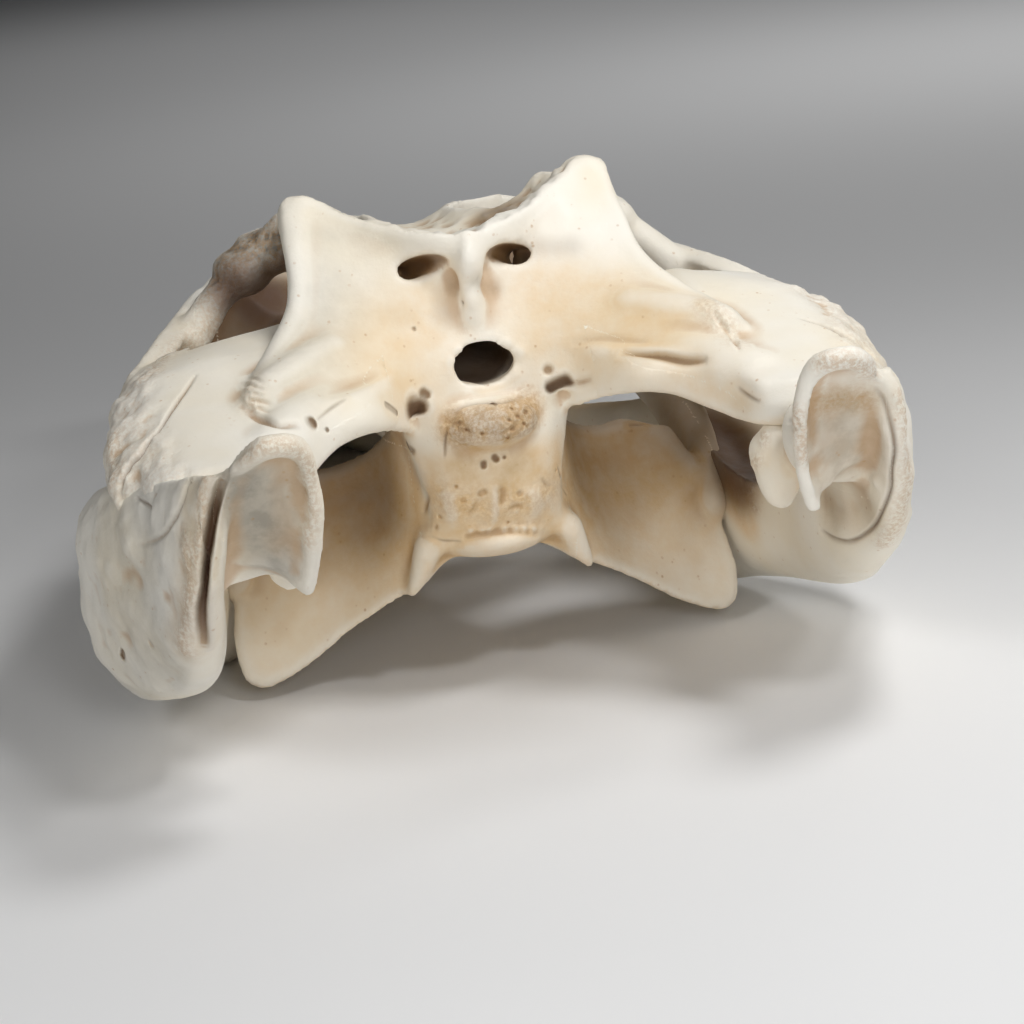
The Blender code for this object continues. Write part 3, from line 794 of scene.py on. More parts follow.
class Carver:
    """Carves and tints the points of one fine mesh."""

    def __init__(self, thing: bpy.types.Object, sight: Sight) -> None:
        """Reads the mesh.

        Args:
            thing: the object to carve.
            sight: the view in which marks are placed.
        """
        self.thing = thing
        self.sight = sight
        self.points = read_points(thing)
        self.normals = read_normals(thing)
        self.edges = read_edges(thing)
        self.move = np.zeros_like(self.points)
        self.tones = {name: np.zeros(len(self.points)) for name in TONES}
        self.tree = BVHTree.FromObject(thing, bpy.context.evaluated_depsgraph_get())
        self.forward = sight.axes()[2]

    def tint(self, name: str, amount: np.ndarray | float, where: Any = slice(None)) -> None:
        """Adds to a tone: 1 - (1 - tone)(1 - amount).

        Args:
            name: which tone.
            amount: how much, from 0 to 1.
            where: the points it goes to.
        """
        self.tones[name][where] = 1 - (1 - self.tones[name][where]) * (1 - np.clip(amount, 0, 1))

    def press(self, mark: Mark) -> None:
        """Applies one mark.

        Formula: with d the distance to the mark's line on the bone, its share is
        exp(-(d / reach)^(2 square)), less on points that face away from the eye.

        Args:
            mark: the mark.
        """
        line = self.sight.cast(self.tree, mark.spots)
        if not len(line):
            log.warning("a mark at %s meets nothing", mark.spots[0])
            return
        if len(line) > 2:
            line = spline(line, 4 * len(line))
        far = mark.reach * 2.6
        near = near_line(self.points, line, far)
        if not len(near):
            return
        spot = self.points[near]
        away, along = away_from(spot, line)
        facing = smooth_step(-(self.normals[near] @ self.forward), -0.35, 0.05)
        share = np.exp(-(away / mark.reach) ** (2 * mark.square)) * facing
        share *= np.clip(4 * along * (1 - along), 0.02, 1) ** mark.taper
        way = -self.forward if mark.inward else self.normals[near]
        self.move[near] += (share * mark.height)[:, None] * way
        for name in TONES:
            amount = getattr(mark, name)
            if amount:
                self.tint(name, share * amount, near)

    def shade_along(self, path: Any, reach: float, mask: np.ndarray | float, **tones: float) -> None:
        """Paints shade on everything within reach of a path, as a darker, warmer tint.

        Args:
            path: its points in millimetres.
            reach: how far the tint goes.
            mask: share of the tint that each point may take.
            tones: how much of each tone is added.
        """
        line = np.array(path, float)
        away, _ = away_from(self.points, line)
        share = smooth_step(-away, -reach, -0.8 * reach) * mask
        for name, amount in tones.items():
            self.tint(name, share * amount)

    def raise_by(self, amount: np.ndarray) -> None:
        """Moves every point outward by its own amount in millimetres."""
        self.move += amount[:, None] * self.normals

    def roughen(self) -> None:
        """Breaks up the rough places with knobs of 5 mm and grain of 2 mm."""
        rough = self.tones["rough"]
        knobs = noise(self.points, 5.0, 5, 2)
        grain = 1 - 2 * np.abs(noise(self.points, 2.6, 9, 2))
        self.raise_by(rough * (0.55 * knobs + 0.55 * grain))

    def done(self) -> None:
        """Writes the carved points, and the tones and hollowness as point attributes; the hollowness drives
        painted shade and painted highlight.
        """
        mesh = self.thing.data
        points = self.points + self.move
        mesh.vertices.foreach_set("co", placed(points).astype(np.float32).ravel())
        mesh.update()
        normals = read_normals(self.thing)
        mean = points
        hollow_shade = np.zeros(len(points))
        for step in range(max(HOLLOW_WEIGHTS) + 1):
            mean = mean_of_neighbours(mean, self.edges)
            if step in HOLLOW_WEIGHTS:
                hollow_shade += np.sum((mean - points) * normals, axis=1) * HOLLOW_WEIGHTS[step]
        self.tones["hollow_shade"] = np.clip(hollow_shade, -1, 1)
        for name, values in self.tones.items():
            kept = mesh.attributes.new(name, "FLOAT", "POINT")
            kept.data.foreach_set("value", values.astype(np.float32))


# Finishes.


def shade(code: str) -> tuple[float, float, float, float]:
    """Turns an sRGB hex colour into linear values."""
    parts = [int(code[i:i + 2], 16) / 255 for i in (1, 3, 5)]
    return (*[p / 12.92 if p <= 0.04045 else ((p + 0.055) / 1.055) ** 2.4 for p in parts], 1.0)


def blank(name: str) -> tuple[bpy.types.Material, bpy.types.Node]:
    """Makes a material with nodes and returns it with its shader."""
    made = bpy.data.materials.new(name)
    made.use_nodes = True
    return made, made.node_tree.nodes["Principled BSDF"]


def feed(tree: bpy.types.NodeTree, node: bpy.types.Node, inputs: dict[Any, Any]) -> None:
    """Sets or links a node's inputs.

    Args:
        tree: the material's tree.
        node: the node.
        inputs: values or output sockets by input name or number.
    """
    for name, value in inputs.items():
        if isinstance(value, bpy.types.NodeSocket):
            tree.links.new(value, node.inputs[name])
        else:
            node.inputs[name].default_value = value


def add(tree: bpy.types.NodeTree, kind: str, inputs: dict[Any, Any] | None = None,
        **settings: Any) -> bpy.types.Node:
    """Adds a node with its settings and links.

    Args:
        tree: the material's tree.
        kind: the node's type.
        inputs: values or output sockets by input name or number.
        settings: properties of the node.

    Returns:
        The node.
    """
    made = tree.nodes.new(kind)
    for name, value in settings.items():
        setattr(made, name, value)
    feed(tree, made, inputs or {})
    return made


@dataclass(frozen=True)
class DryBone:
    """Macerated, sun-bleached cortical bone: matt cream with warm stains, browner in its hollows as painted
    shade and paler on its ridges as a painted highlight.
    """

    name: str = "dry_bone"
    cream: str = "#F7EDD8"
    pale: str = "#FBF6EA"
    warm: str = "#E8C184"
    # Brown of the painted shade in hollows, also used for pores and rubbed spongy grain.
    hollow_shade: str = "#C0935A"
    # Dark brown of stains, also used as painted shade in holes, sheltered walls and chambers.
    stain: str = "#4E2A10"
    # Grey of dirt, also used as painted shade where the bone lies in shadow.
    grey_and_shade: str = "#5F5E57"
    rough: float = 0.58
    ior: float = 1.55

    def material(self) -> bpy.types.Material:
        """Returns the material; its patterns read Object coordinates in metres."""
        made, shader = blank(self.name)
        tree = made.node_tree
        place = add(tree, "ShaderNodeTexCoord").outputs["Object"]
        tones = {n: add(tree, "ShaderNodeAttribute", attribute_name=n).outputs["Fac"]
                 for n in TONES + ("hollow_shade",)}

        def blend(amount: Any, first: Any, second: Any, how: str = "MIX") -> bpy.types.NodeSocket:
            """Mixes two colours."""
            mix = add(tree, "ShaderNodeMix", {0: amount, 6: first, 7: second}, data_type="RGBA",
                      blend_type=how)
            return mix.outputs[2]

        def level(value: Any, low: float, high: float, start: float, end: float) -> Any:
            """Maps a range of values to another one, clamped."""
            ranged = add(tree, "ShaderNodeMapRange", {0: value, 1: low, 2: high, 3: start, 4: end})
            return ranged.outputs[0]

        def times(first: Any, second: Any) -> bpy.types.NodeSocket:
            """Multiplies two values."""
            return add(tree, "ShaderNodeMath", {0: first, 1: second}, operation="MULTIPLY").outputs[0]

        # Clouds of 60 mm and mottles of 9 mm: uneven bleaching.
        clouds = add(tree, "ShaderNodeTexNoise", {"Vector": place, "Scale": 16.0, "Detail": 3.0})
        mottle = add(tree, "ShaderNodeTexNoise", {"Vector": place, "Scale": 110.0, "Detail": 5.0,
                                                  "Roughness": 0.6})
        colour = blend(level(clouds.outputs[0], 0.4, 0.62, 0, 1), shade(self.cream), shade(self.pale))
        warmth = times(tones["warm"], level(mottle.outputs[0], 0.35, 0.65, 0.65, 1.0))
        colour = blend(warmth, colour, shade(self.warm))
        # Grey dirt, and painted shade where the bone lies in shadow.
        colour = blend(times(tones["grey_and_shade"], level(mottle.outputs[0], 0.4, 0.6, 0.7, 1.0)), colour,
                       shade(self.grey_and_shade))
        # Painted shade: browner in the hollows. Painted highlight: paler on the ridges.
        colour = blend(level(tones["hollow_shade"], 0.18, 1.0, 0, 0.55), colour, shade(self.hollow_shade))
        colour = blend(level(tones["hollow_shade"], -0.15, -0.9, 0, 0.4), colour, shade(self.pale))
        # Pores about 0.5 mm wide, 4 mm apart, drawn a little coarse so that they show.
        pores = add(tree, "ShaderNodeTexVoronoi", {"Vector": place, "Scale": 240.0})
        dots = level(pores.outputs["Distance"], 0.10, 0.2, 0.55, 0.0)
        spread = level(mottle.outputs[0], 0.52, 0.66, 0.0, 1.0)
        colour = blend(times(dots, spread), colour, shade(self.hollow_shade))
        grain = add(tree, "ShaderNodeTexNoise", {"Vector": place, "Scale": 620.0, "Detail": 4.0,
                                                 "Roughness": 0.7})
        rub = times(tones["rough"], level(grain.outputs[0], 0.42, 0.6, 0.55, 0.0))
        colour = blend(rub, colour, shade(self.hollow_shade))
        # Stains, and painted shade in holes, sheltered walls and chambers.
        colour = blend(tones["stain"], colour, shade(self.stain))
        gloss = level(mottle.outputs[0], 0.3, 0.7, self.rough - 0.08, self.rough + 0.1)
        # Grain of 1.6 mm over all, stronger where the bone is spongy.
        height = times(grain.outputs[0], level(tones["rough"], 0, 1, 0.25, 1.6))
        height = add(tree, "ShaderNodeMath", {0: height, 1: times(mottle.outputs[0], 0.9)},
                     operation="ADD")
        bump = add(tree, "ShaderNodeBump", {"Height": height.outputs[0], "Strength": 0.55,
                                            "Distance": 0.0009})
        feed(tree, shader, {"Base Color": colour, "Roughness": gloss, "IOR": self.ior,
                            "Normal": bump.outputs[0]})
        return made


@dataclass(frozen=True)
class ToothEnamel:
    """Dry enamel over dentine: satin ivory, browner at the gum line, with fine length lines."""

    name: str = "tooth_enamel"
    ivory: str = "#EFE3C8"
    root: str = "#B48A57"
    rough: float = 0.34
    ior: float = 1.62

    def material(self) -> bpy.types.Material:
        """Returns the material; a point attribute runs from the root to the tip."""
        made, shader = blank(self.name)
        tree = made.node_tree
        place = add(tree, "ShaderNodeTexCoord").outputs["Object"]
        along = add(tree, "ShaderNodeAttribute", attribute_name="along").outputs["Fac"]
        lines = add(tree, "ShaderNodeMapping", {"Vector": place, "Scale": (1.0, 1.0, 0.08)})
        streak = add(tree, "ShaderNodeTexNoise", {"Vector": lines.outputs[0], "Scale": 900.0,
                                                  "Detail": 3.0})
        share = add(tree, "ShaderNodeMapRange", {0: along, 1: 0.0, 2: 0.3, 3: 0.5, 4: 0.0})
        colour = add(tree, "ShaderNodeMix", {0: share.outputs[0], 6: shade(self.ivory),
                                             7: shade(self.root)}, data_type="RGBA")
        bump = add(tree, "ShaderNodeBump", {"Height": streak.outputs[0], "Strength": 0.35,
                                            "Distance": 0.0003})
        feed(tree, shader, {"Base Color": colour.outputs[2], "Roughness": self.rough, "IOR": self.ior,
                            "Normal": bump.outputs[0]})
        return made


@dataclass(frozen=True)
class PaleFloor:
    """Matt white studio card."""

    name: str = "studio_card"
    white: str = "#F2F2F2"
    rough: float = 0.85

    def material(self) -> bpy.types.Material:
        """Returns the material."""
        made, shader = blank(self.name)
        feed(made.node_tree, shader, {"Base Color": shade(self.white), "Roughness": self.rough})
        return made


def dress(piece: bpy.types.Object, material: bpy.types.Material, slot: str,
          replaced: str | None) -> None:
    """Gives a piece its finish and its body, and hides the node whose mesh it replaces.

    Args:
        piece: the finished piece.
        material: its material.
        slot: not used.
        replaced: the node whose mesh it replaces, if any.
    """
    piece.data.materials.clear()
    piece.data.materials.append(material)
    piece.data.shade_smooth()
    piece.data.set_sharp_from_angle(angle=math.radians(CREASE))
    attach(piece, "root")
    if replaced:
        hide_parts(replaced)
    piece.data.calc_loop_triangles()
    log.info("%s: %d triangles", piece.name, len(piece.data.loop_triangles))


# The skull above the jaw.


@dataclass(frozen=True)
class Snout:
    """The upper jaw in front of the eyes."""

    # Distance forward, half width, height of the top, of the tooth edge and of the palate.
    sections: tuple[tuple[float, ...], ...] = (
        (156, 102, 171, 88, 80), (180, 95, 166, 83, 82), (205, 87, 157, 78, 82),
        (245, 78, 144, 71, 79), (300, 68, 128, 74, 77), (350, 62, 117, 73, 75),
        (385, 65, 111, 62, 71), (410, 66, 108, 58, 70), (438, 56, 103, 62, 72),
        (462, 40, 99, 74, 75), (490, 44, 100, 72, 75), (520, 47, 102, 68, 74),
        (545, 38, 96, 68, 74), (558, 22, 88, 69, 75), (562, 8, 82, 72, 76),
    )
    rings: int = 110

    def skin(self) -> Solid:
        """Skins the cross-sections, ridged in front of the eyes.

        Formula: a ridge of 11 exp(-((y - 166) / 26)^2) mm is added beside the middle line.

        Returns:
            The solid snout.
        """
        y, w, top, edge, palate = spline(self.sections, self.rings).T
        h = top - edge
        ridge = 11.0 * np.exp(-((y - 166) / 26.0) ** 2)
        x = np.outer(w, (0, 0.3, 0.57, 0.8, 0.96, 1, 0.98, 0.83, 0.62, 0))
        z = np.stack([top, top + 1.5 + 0.4 * ridge, top - 0.03 * h + ridge, top - 0.2 * h, top - 0.5 * h,
                      edge + 0.25 * h, edge, edge, palate, palate + 2], 1)
        x = np.concatenate([x, -x[:, -2:0:-1]], axis=1)
        z = np.concatenate([z, z[:, -2:0:-1]], axis=1)
        rows = np.stack([x, np.repeat(y[:, None], x.shape[1], 1), z], -1)
        closed = np.concatenate([rows, rows[:, :1]], axis=1).transpose(1, 0, 2)
        return skin(spline(closed, 61).transpose(1, 0, 2)[:, :-1])


@dataclass(frozen=True)
class Cranium:
    """The skull without its lower jaw: braincase, table, cheeks, quadrates, wings and snout."""

    voxel: float = 1.7
    rounds: int = 8
    foramen: Triple = (15.2, 40.0, 10.0)
    foramen_height: float = 138.0
    condyle: Triple = (18.0, 12.0, 10.0)
    snout: Snout = Snout()
    # Blocks that part the cranium: point and outward normal of each plane, for the right.
    rostrum: Parting = (("rostrum", (((0, 176, 0), (0, -1, 0)),)),)
    palate: Parting = (("palate", (((0, 20, 0), (0, -1, 0)), ((0, 0, 88), (0, 0, 1)))),)
    paired: Parting = (
        ("jugal", (((128, -60, 0), (-230, -44, 0)), ((0, 176, 0), (0, 1, 0)))),
        ("pterygoid", (((31, 0, 0), (-1, 0, 0)), ((0, 0, 106), (0, 0, 1)))),
        ("quadrate", (((40, 0, 0), (-1, 0, 0)), ((0, -42, 136), (0, -0.44, 1)), ((0, 30, 0), (0, 1, 0)))),
    )

    # Back of the head, skull table, forehead, basioccipital plate and pterygoid arch: half rows
    # from the middle plane outward.
    occiput: Grid = (
        ((0, -6, 122), (14, -7, 122), (30, -12, 125), (46, -26, 131), (60, -35, 136), (76, -40, 137),
         (89, -42, 137), (97, -42, 141)),
        ((0, -4, 142), (14, -6, 142), (30, -9, 144), (45, -18, 146), (60, -27, 148), (74, -34, 149),
         (87, -39, 149), (97, -41, 147)),
        ((0, 2, 160), (14, 3, 161), (30, 0, 161), (45, -5, 160), (57, -9, 160), (68, -14, 159),
         (78, -19, 158), (85, -22, 157)),
        ((0, 6, 176), (14, 10, 178), (28, 10, 178), (41, 9, 177), (52, 7, 176), (61, 5, 174),
         (67, 2, 173), (71, 0, 172)),
        ((0, 1, 187), (13, 4, 189), (25, 12, 190), (38, 20, 193), (49, 26, 197), (57, 29, 199),
         (64, 28, 197), (68, 24, 193)),
        ((0, 1, 190), (13, 3, 192), (24, 10, 194), (36, 20, 198), (46, 30, 203), (55, 36, 208),
         (62, 36, 207), (67, 32, 202)),
    )
    table: Grid = (
        ((0, 0, 190), (13, 3, 192), (24, 10, 194), (36, 20, 198), (46, 30, 203), (56, 36, 208),
         (66, 34, 204)),
        ((0, 28, 185), (12, 28, 186), (24, 32, 188), (36, 40, 191), (46, 46, 196), (57, 52, 204),
         (66, 52, 200)),
        ((0, 60, 180), (12, 60, 180), (24, 60, 182), (35, 63, 186), (45, 66, 191), (54, 70, 200),
         (62, 70, 197)),
        ((0, 92, 179), (11, 92, 180), (21, 92, 182), (31, 91, 185), (41, 89, 190), (49, 88, 198),
         (57, 86, 195)),
    )
    forehead: Grid = (
        ((0, 86, 179), (10, 86, 180), (20, 88, 183), (30, 90, 186)),
        ((0, 112, 177), (8, 112, 178), (16, 112, 182), (22, 112, 184)),
        ((0, 138, 175), (8, 138, 176), (17, 138, 181), (23, 138, 184)),
        ((0, 162, 171), (16, 162, 173), (34, 162, 179), (50, 162, 181)),
        ((0, 182, 166), (20, 182, 168), (40, 182, 170), (58, 182, 172)),
    )
    basin: Grid = (
        ((0, -8, 124), (12, -8, 124), (24, -7, 124), (35, -2, 124)),
        ((0, -13, 106), (12, -12, 106), (22, -9, 106), (32, -1, 108)),
        ((0, -12, 90), (12, -11, 90), (21, -8, 90), (28, -1, 90)),
        ((0, -7, 75), (12, -6, 75), (20, -4, 75), (27, 0, 75)),
        ((0, 0, 66), (12, 0, 65), (21, 1, 64), (31, 3, 63)),
    )
    arch: Grid = (
        ((0, 4, 78), (12, 3, 77), (22, 3, 74), (30, 4, 70)),
        ((0, 8, 70), (13, 7, 68), (25, 6, 63), (33, 6, 58)),
        ((0, 11, 63), (14, 10, 60), (26, 9, 53), (37, 8, 46)),
    )
    # Plates of the right side: pterygoid wing, quadrate, cheek, jugal bar and braincase wall.
    wing: Grid = (
        ((28, 6, 52), (27, 3, 66), (26, 2, 82), (28, 6, 100), (32, 14, 118)),
        ((46, 13, 41), (46, 22, 56), (44, 30, 70), (43, 36, 85), (42, 42, 99)),
        ((62, 22, 30), (64, 33, 45), (62, 42, 60), (59, 48, 76), (57, 52, 91)),
        ((80, 27, 17), (86, 38, 33), (83, 45, 53), (78, 51, 72), (71, 55, 91)),
        ((98, 30, 9), (105, 38, 26), (102, 45, 46), (97, 49, 66), (86, 54, 86)),
        ((107, 34, 13), (108, 41, 28), (104, 47, 48), (99, 51, 67), (89, 56, 87)),
    )
    quadrate: Grid = (
        ((32, -8, 114), (34, -14, 128), (36, -14, 142)),
        ((48, -36, 124), (50, -41, 132), (52, -36, 142)),
        ((64, -46, 124), (66, -49, 132), (68, -45, 142)),
        ((78, -60, 118), (81, -64, 129), (83, -56, 139)),
        ((86, -80, 115), (90, -88, 124), (92, -80, 134)),
        ((100, -86, 115), (104, -92, 124), (106, -86, 133)),
        ((120, -82, 115), (123, -87, 123), (124, -80, 131)),
        ((138, -68, 114), (141, -71, 121), (141, -64, 128)),
    )
    cheek: Grid = (
        ((88, -84, 132), (104, -89, 133), (122, -83, 132), (138, -69, 128), (149, -52, 120)),
        ((80, -52, 139), (98, -50, 141), (118, -46, 142), (137, -40, 138), (151, -36, 127)),
        ((74, -25, 147), (92, -22, 148), (112, -18, 149), (132, -16, 146), (150, -20, 135)),
        ((66, 2, 156), (86, 2, 155), (108, 4, 155), (128, 4, 150), (144, 2, 142)),
        ((58, 40, 163), (76, 42, 160), (98, 42, 156), (118, 40, 152), (132, 38, 147)),
    )
    bar: Grid = (
        ((149, -50, 121), (150, -50, 115), (148, -48, 108)),
        ((151, -28, 132), (151, -28, 122), (150, -26, 109)),
        ((144, 0, 142), (149, 0, 129), (149, 0, 108)),
        ((136, 30, 146), (143, 30, 132), (144, 30, 106)),
        ((122, 60, 154), (134, 60, 137), (137, 60, 102)),
        ((110, 90, 158), (124, 90, 138), (127, 90, 98)),
        ((99, 120, 161), (113, 120, 140), (118, 120, 94)),
        ((90, 150, 160), (103, 150, 138), (108, 150, 88)),
        ((80, 180, 158), (94, 180, 136), (98, 180, 84)),
        ((58, 215, 136), (70, 215, 122), (76, 215, 92)),
    )
    # A plate behind the pterygoid wing that closes the view into the chamber; the chamber's painted shade
    # darkens it.
    shade_screen: Grid = (
        ((22, 56, 132), (40, 70, 132), (54, 80, 130), (64, 88, 128)),
        ((22, 54, 108), (42, 68, 108), (58, 80, 106), (70, 90, 104)),
        ((22, 50, 82), (42, 64, 82), (60, 78, 82), (74, 90, 82)),
    )
    wall: Grid = (
        ((64, 20, 190), (60, 14, 176), (60, 6, 160), (62, 0, 148)),
        ((63, 42, 198), (54, 40, 180), (50, 34, 164), (50, 30, 150)),
        ((58, 76, 192), (46, 72, 178), (38, 66, 164), (34, 60, 150)),
    )

    def solids(self) -> list[Solid]:
        """Returns the solids of the whole cranium."""
        middle = [
            plate(across(self.occiput), (0, 13, 0), 40, 80),
            plate(across(self.table), (0, 0, -13), 32, 68),
            plate(across(self.forehead), (0, 0, -13), 32, 40),
            plate(across(self.basin), (0, 16, 0), 28, 40),
            plate(across(self.arch), (0, 12, 3), 16, 40),
            ball((0, -11, 116), self.condyle),
            tube([(0, 0, 180), (0, 2, 165), (0, 2, 152)], (6, 5, 4)),
            tube([(0, 34, 152), (0, 60, 152), (0, 92, 158)], (30, 25, 18)),
            tube([(0, 34, 118), (0, 52, 122), (0, 72, 130)], (30, 24, 15)),
            tube([(0, 26, 92), (0, 40, 96), (0, 60, 104)], (25, 20, 12)),
            tube([(0, 90, 160), (0, 130, 158), (0, 170, 150)], (13, 6, 10)),
            tube([(0, 16, 66), (0, 50, 66), (0, 95, 70), (0, 140, 78), (0, 190, 86)],
                 (26, 30, 24, 20, 26), 28, 40, 0.36),
            self.snout.skin(),
        ]
        return middle + pair([
            plate(self.wing, (-2, 8, 2), 36, 32),
            plate(self.quadrate, (-4, 22, 0), 48, 16),
            plate(self.cheek, (-3, 4, -11), 28, 28),
            plate(self.bar, (-12, 0, -2), 56, 16),
            plate(self.wall, (-9, 2, 0), 20, 20),
            tube([(34, 20, 132), (52, -5, 134), (74, -34, 134), (94, -64, 128)], (18, 15, 13, 12)),
            tube([(60, -10, 152), (76, -24, 149), (90, -36, 145)], (9, 9, 8)),
            ball((65, 99, 178), (18, 20, 10)),
            ball((78, 95, 172), (13, 18, 11)),
            tube([(58, 88, 186), (76, 94, 173), (91, 88, 163), (104, 80, 150)], (10, 8, 7, 8)),
            tube([(64, 30, 175), (72, 38, 166), (82, 46, 157)], (3.6, 3.0, 4)),
            plate(self.shade_screen, (0, 8, 0), 20, 24),
            tube([(102, 50, 52), (104, 72, 70), (103, 105, 88), (99, 150, 102)], (7, 9, 10, 10), 20, 24, 1.6),
            tube([(29, 4, 66), (33, 6, 56), (37, 8, 47)], (6, 4.5, 2.6)),
        ])

    def openings(self) -> list[Solid]:
        """Returns the solids of the openings."""
        return [
            ball((0, 18, self.foramen_height), self.foramen),
            ball((0, 521, 108), (14, 17, 26)),
            ball((0, 34, 50), (13, 9, 14)),
        ] + pair([
            tube([(12, -4, 179), (17, 8, 178), (23, 18, 175)], (7, 8, 7), 20, 20, 0.55),
            ball((29, 50, 192), (11.5, 17, 26)),
            ball((53, 140, 176), (28, 30, 44)),
            ball((46, 168, 84), (17, 34, 34)),
            ball((50, 130, 120), (34, 32, 36)),
        ])

    def marks(self) -> list[Mark]:
        """Returns the marks that the back view shows on the cranium."""
        return [
            # Openings under the table with painted shade in and round them, and the crest between them.
            Mark(((404, 270), (420, 264), (441, 257)), 3.4, 0.0, 2.2, stain=0.45),
            Mark(((489, 251), (507, 247), (526, 255)), 2.8, 0.0, 2.2, stain=0.45),
            Mark(((405, 262), (425, 258)), 7.0, 0.0, stain=0.3),
            Mark(((505, 250), (540, 246), (570, 246)), 5.0, 0.0, stain=0.22),
            Mark(((467, 236), (467, 255), (468, 274)), 3.0, 1.8),
            Mark(((452, 280), (453, 284)), 3.0, -1.2, grey_and_shade=0.55),
            Mark(((480, 282), (490, 290)), 4.0, -1.2, grey_and_shade=0.45),
            Mark(((470, 302), (470, 316)), 4.0, 1.6),
            crack((463, 300), (464, 304), reach=0.7, depth=0.8),
            # Foramen magnum and its lip.
            Mark(((450, 362), (458, 350), (480, 342), (506, 343), (520, 352)), 2.4, 0.9),
            Mark(((452, 372), (466, 384), (480, 390), (500, 386), (514, 374)), 2.4, 0.9, warm=0.4),
            # Worn spongy condyle.
            Mark(((456, 430), (480, 424), (508, 420), (530, 410)), 9.5, 0.0, 2.0, warm=0.85, rough=1.0,
                 stain=0.14),
            Mark(((452, 416), (458, 426), (466, 432)), 3.6, -1.0, stain=0.32, rough=0.6),
            Mark(((480, 418), (492, 428)), 5.0, -0.6, grey_and_shade=0.4),
            Mark(((505, 432), (520, 420), (532, 408)), 5.5, -0.5, rough=1.0, stain=0.14),
            *[hole((x, y), reach=r, depth=1.1, stain=0.2) for x, y, r in (
                (459, 423, 1.1), (466, 430, 0.8), (512, 409, 0.9), (526, 412, 1.2), (509, 420, 0.7),
                (518, 417, 1.0),
                (524, 424, 0.8), (513, 429, 1.2), (508, 438, 0.8), (482, 434, 0.7))],
            crack((452, 412), (470, 404), (500, 402), (525, 396), reach=1.1, depth=0.8, stain=0.3),
            hole((492, 403), (495, 404), reach=1.2, depth=1.6, stain=0.5),
            # Holes for nerves and vessels, with painted shade inside.
            hole((412, 409), (417, 409), reach=4.2, depth=8.0, stain=0.8),
            hole((423, 393), (426, 395), reach=1.9, depth=2.4, stain=0.55),
            hole((386, 405), (396, 413), reach=1.4, depth=1.8, stain=0.45),
            hole((408, 445), (412, 450), reach=2.0, depth=2.5, stain=0.45),
            hole((552, 387), (560, 383), (566, 381), reach=2.6, depth=6.0, stain=0.75),
            hole((548, 370), reach=2.0, depth=2.0, stain=0.35),
            groove((562, 386), (576, 384), (592, 379), reach=1.7, depth=1.4),
            hole((327, 430), reach=1.1, depth=1.6, stain=0.5),
            hole((312, 423), reach=2.6, depth=4.0, stain=0.5),
            hole((414, 329), reach=0.9, depth=0.9, stain=0.4),
            # Basioccipital plate: a pale keel, pits beside it, and the rough crest of its lower edge.
            Mark(((462, 465), (490, 470), (520, 468)), 10.0, -1.2, warm=0.35, grey_and_shade=0.22),
            Mark(((445, 500), (470, 505), (520, 505), (545, 495)), 9.0, 0.0, rough=0.5, warm=0.3),
            Mark(((494, 484), (495, 505), (493, 528)), 2.6, 1.7, taper=0.4),
            Mark(((447, 490), (450, 505), (452, 522)), 3.4, 1.2, taper=0.4),
            Mark(((531, 488), (536, 505), (532, 522)), 3.4, 1.0, taper=0.4),
            hole((495, 458), (497, 460), reach=1.3, depth=1.8, stain=0.6),
            hole((484, 464), (484, 467), reach=1.2, depth=1.6, stain=0.6),
            hole((505, 458), reach=0.8, depth=1.0, stain=0.5),
            hole((481, 494), (484, 492), reach=1.3, depth=1.2, stain=0.15),
            groove((502, 487), (503, 496), (501, 506), reach=1.9, depth=1.5, stain=0.1),
            groove((481, 498), (474, 508), (468, 517), reach=1.1, depth=0.9, stain=0.14),
            groove((508, 511), (516, 507), (524, 508), reach=1.5, depth=1.2, stain=0.1),
            groove((428, 494), (426, 503), (423, 513), reach=1.7, depth=1.2, stain=0.16),
            groove((541, 478), (546, 484), (551, 488), reach=1.1, depth=0.8, stain=0.18),
            groove((434, 526), (438, 528), reach=1.6, depth=1.0, stain=0.12),
            groove((462, 538), (480, 534), (497, 532), (512, 531), (528, 532), (546, 534), reach=1.5,
                   depth=1.3, stain=0.22),
            *[Mark(((x, 529 + abs(x - 500) * 0.02),), 1.5, 1.5) for x in (471, 482, 489, 505, 516, 524, 533)],
            *[hole((x, y), reach=r, depth=1.0, stain=0.1) for x, y, r in (
                (456, 487, 0.8), (463, 500, 1.2), (440, 516, 1.0), (508, 522, 0.8), (520, 494, 1.3),
                (556, 470, 0.8))],
            crack((447, 430), (445, 440), (444, 458), reach=0.7, depth=0.8, stain=0.55),
            crack((558, 466), (561, 478), (567, 494), reach=0.7, depth=0.8, stain=0.45),
            crack((430, 536), (445, 541), (462, 542), reach=0.7, depth=0.6, stain=0.3),
            # Left end of the paroccipital bar: comb of fibres over a brown groove.
            *[groove((x, y), (x + 10, y + 1), (x + r, y + 4), reach=0.9, depth=d, stain=0.06)
              for x, y, r, d in ((246, 378, 17, 0.7), (243, 385, 22, 0.9), (245, 393, 19, 0.6),
                                 (247, 400, 24, 0.9), (250, 408, 20, 0.7))],
            groove((240, 404), (256, 416), (276, 424), (302, 425), reach=1.9, depth=2.2, stain=0.42),
            crack((318, 420), (332, 408), (346, 398), reach=0.7, depth=0.6, stain=0.35),
            # Right end of it.
            groove((618, 351), (640, 352), (660, 355), (684, 361), (708, 360), reach=2.0, depth=3.4,
                   stain=0.5),
            groove((570, 343), (605, 338), (650, 341), reach=1.8, depth=0.6, stain=0.12),
            *[groove((704 + 7 * k, 304 + 6 * k), (721 + 5 * k, 325 + 6 * k), (737 + k, 345 + 2 * k),
                     reach=1.0, depth=0.6, stain=0.06) for k in range(4)],
            Mark(((705, 305), (725, 325), (738, 342)), 6.0, 0.4, rough=0.5),
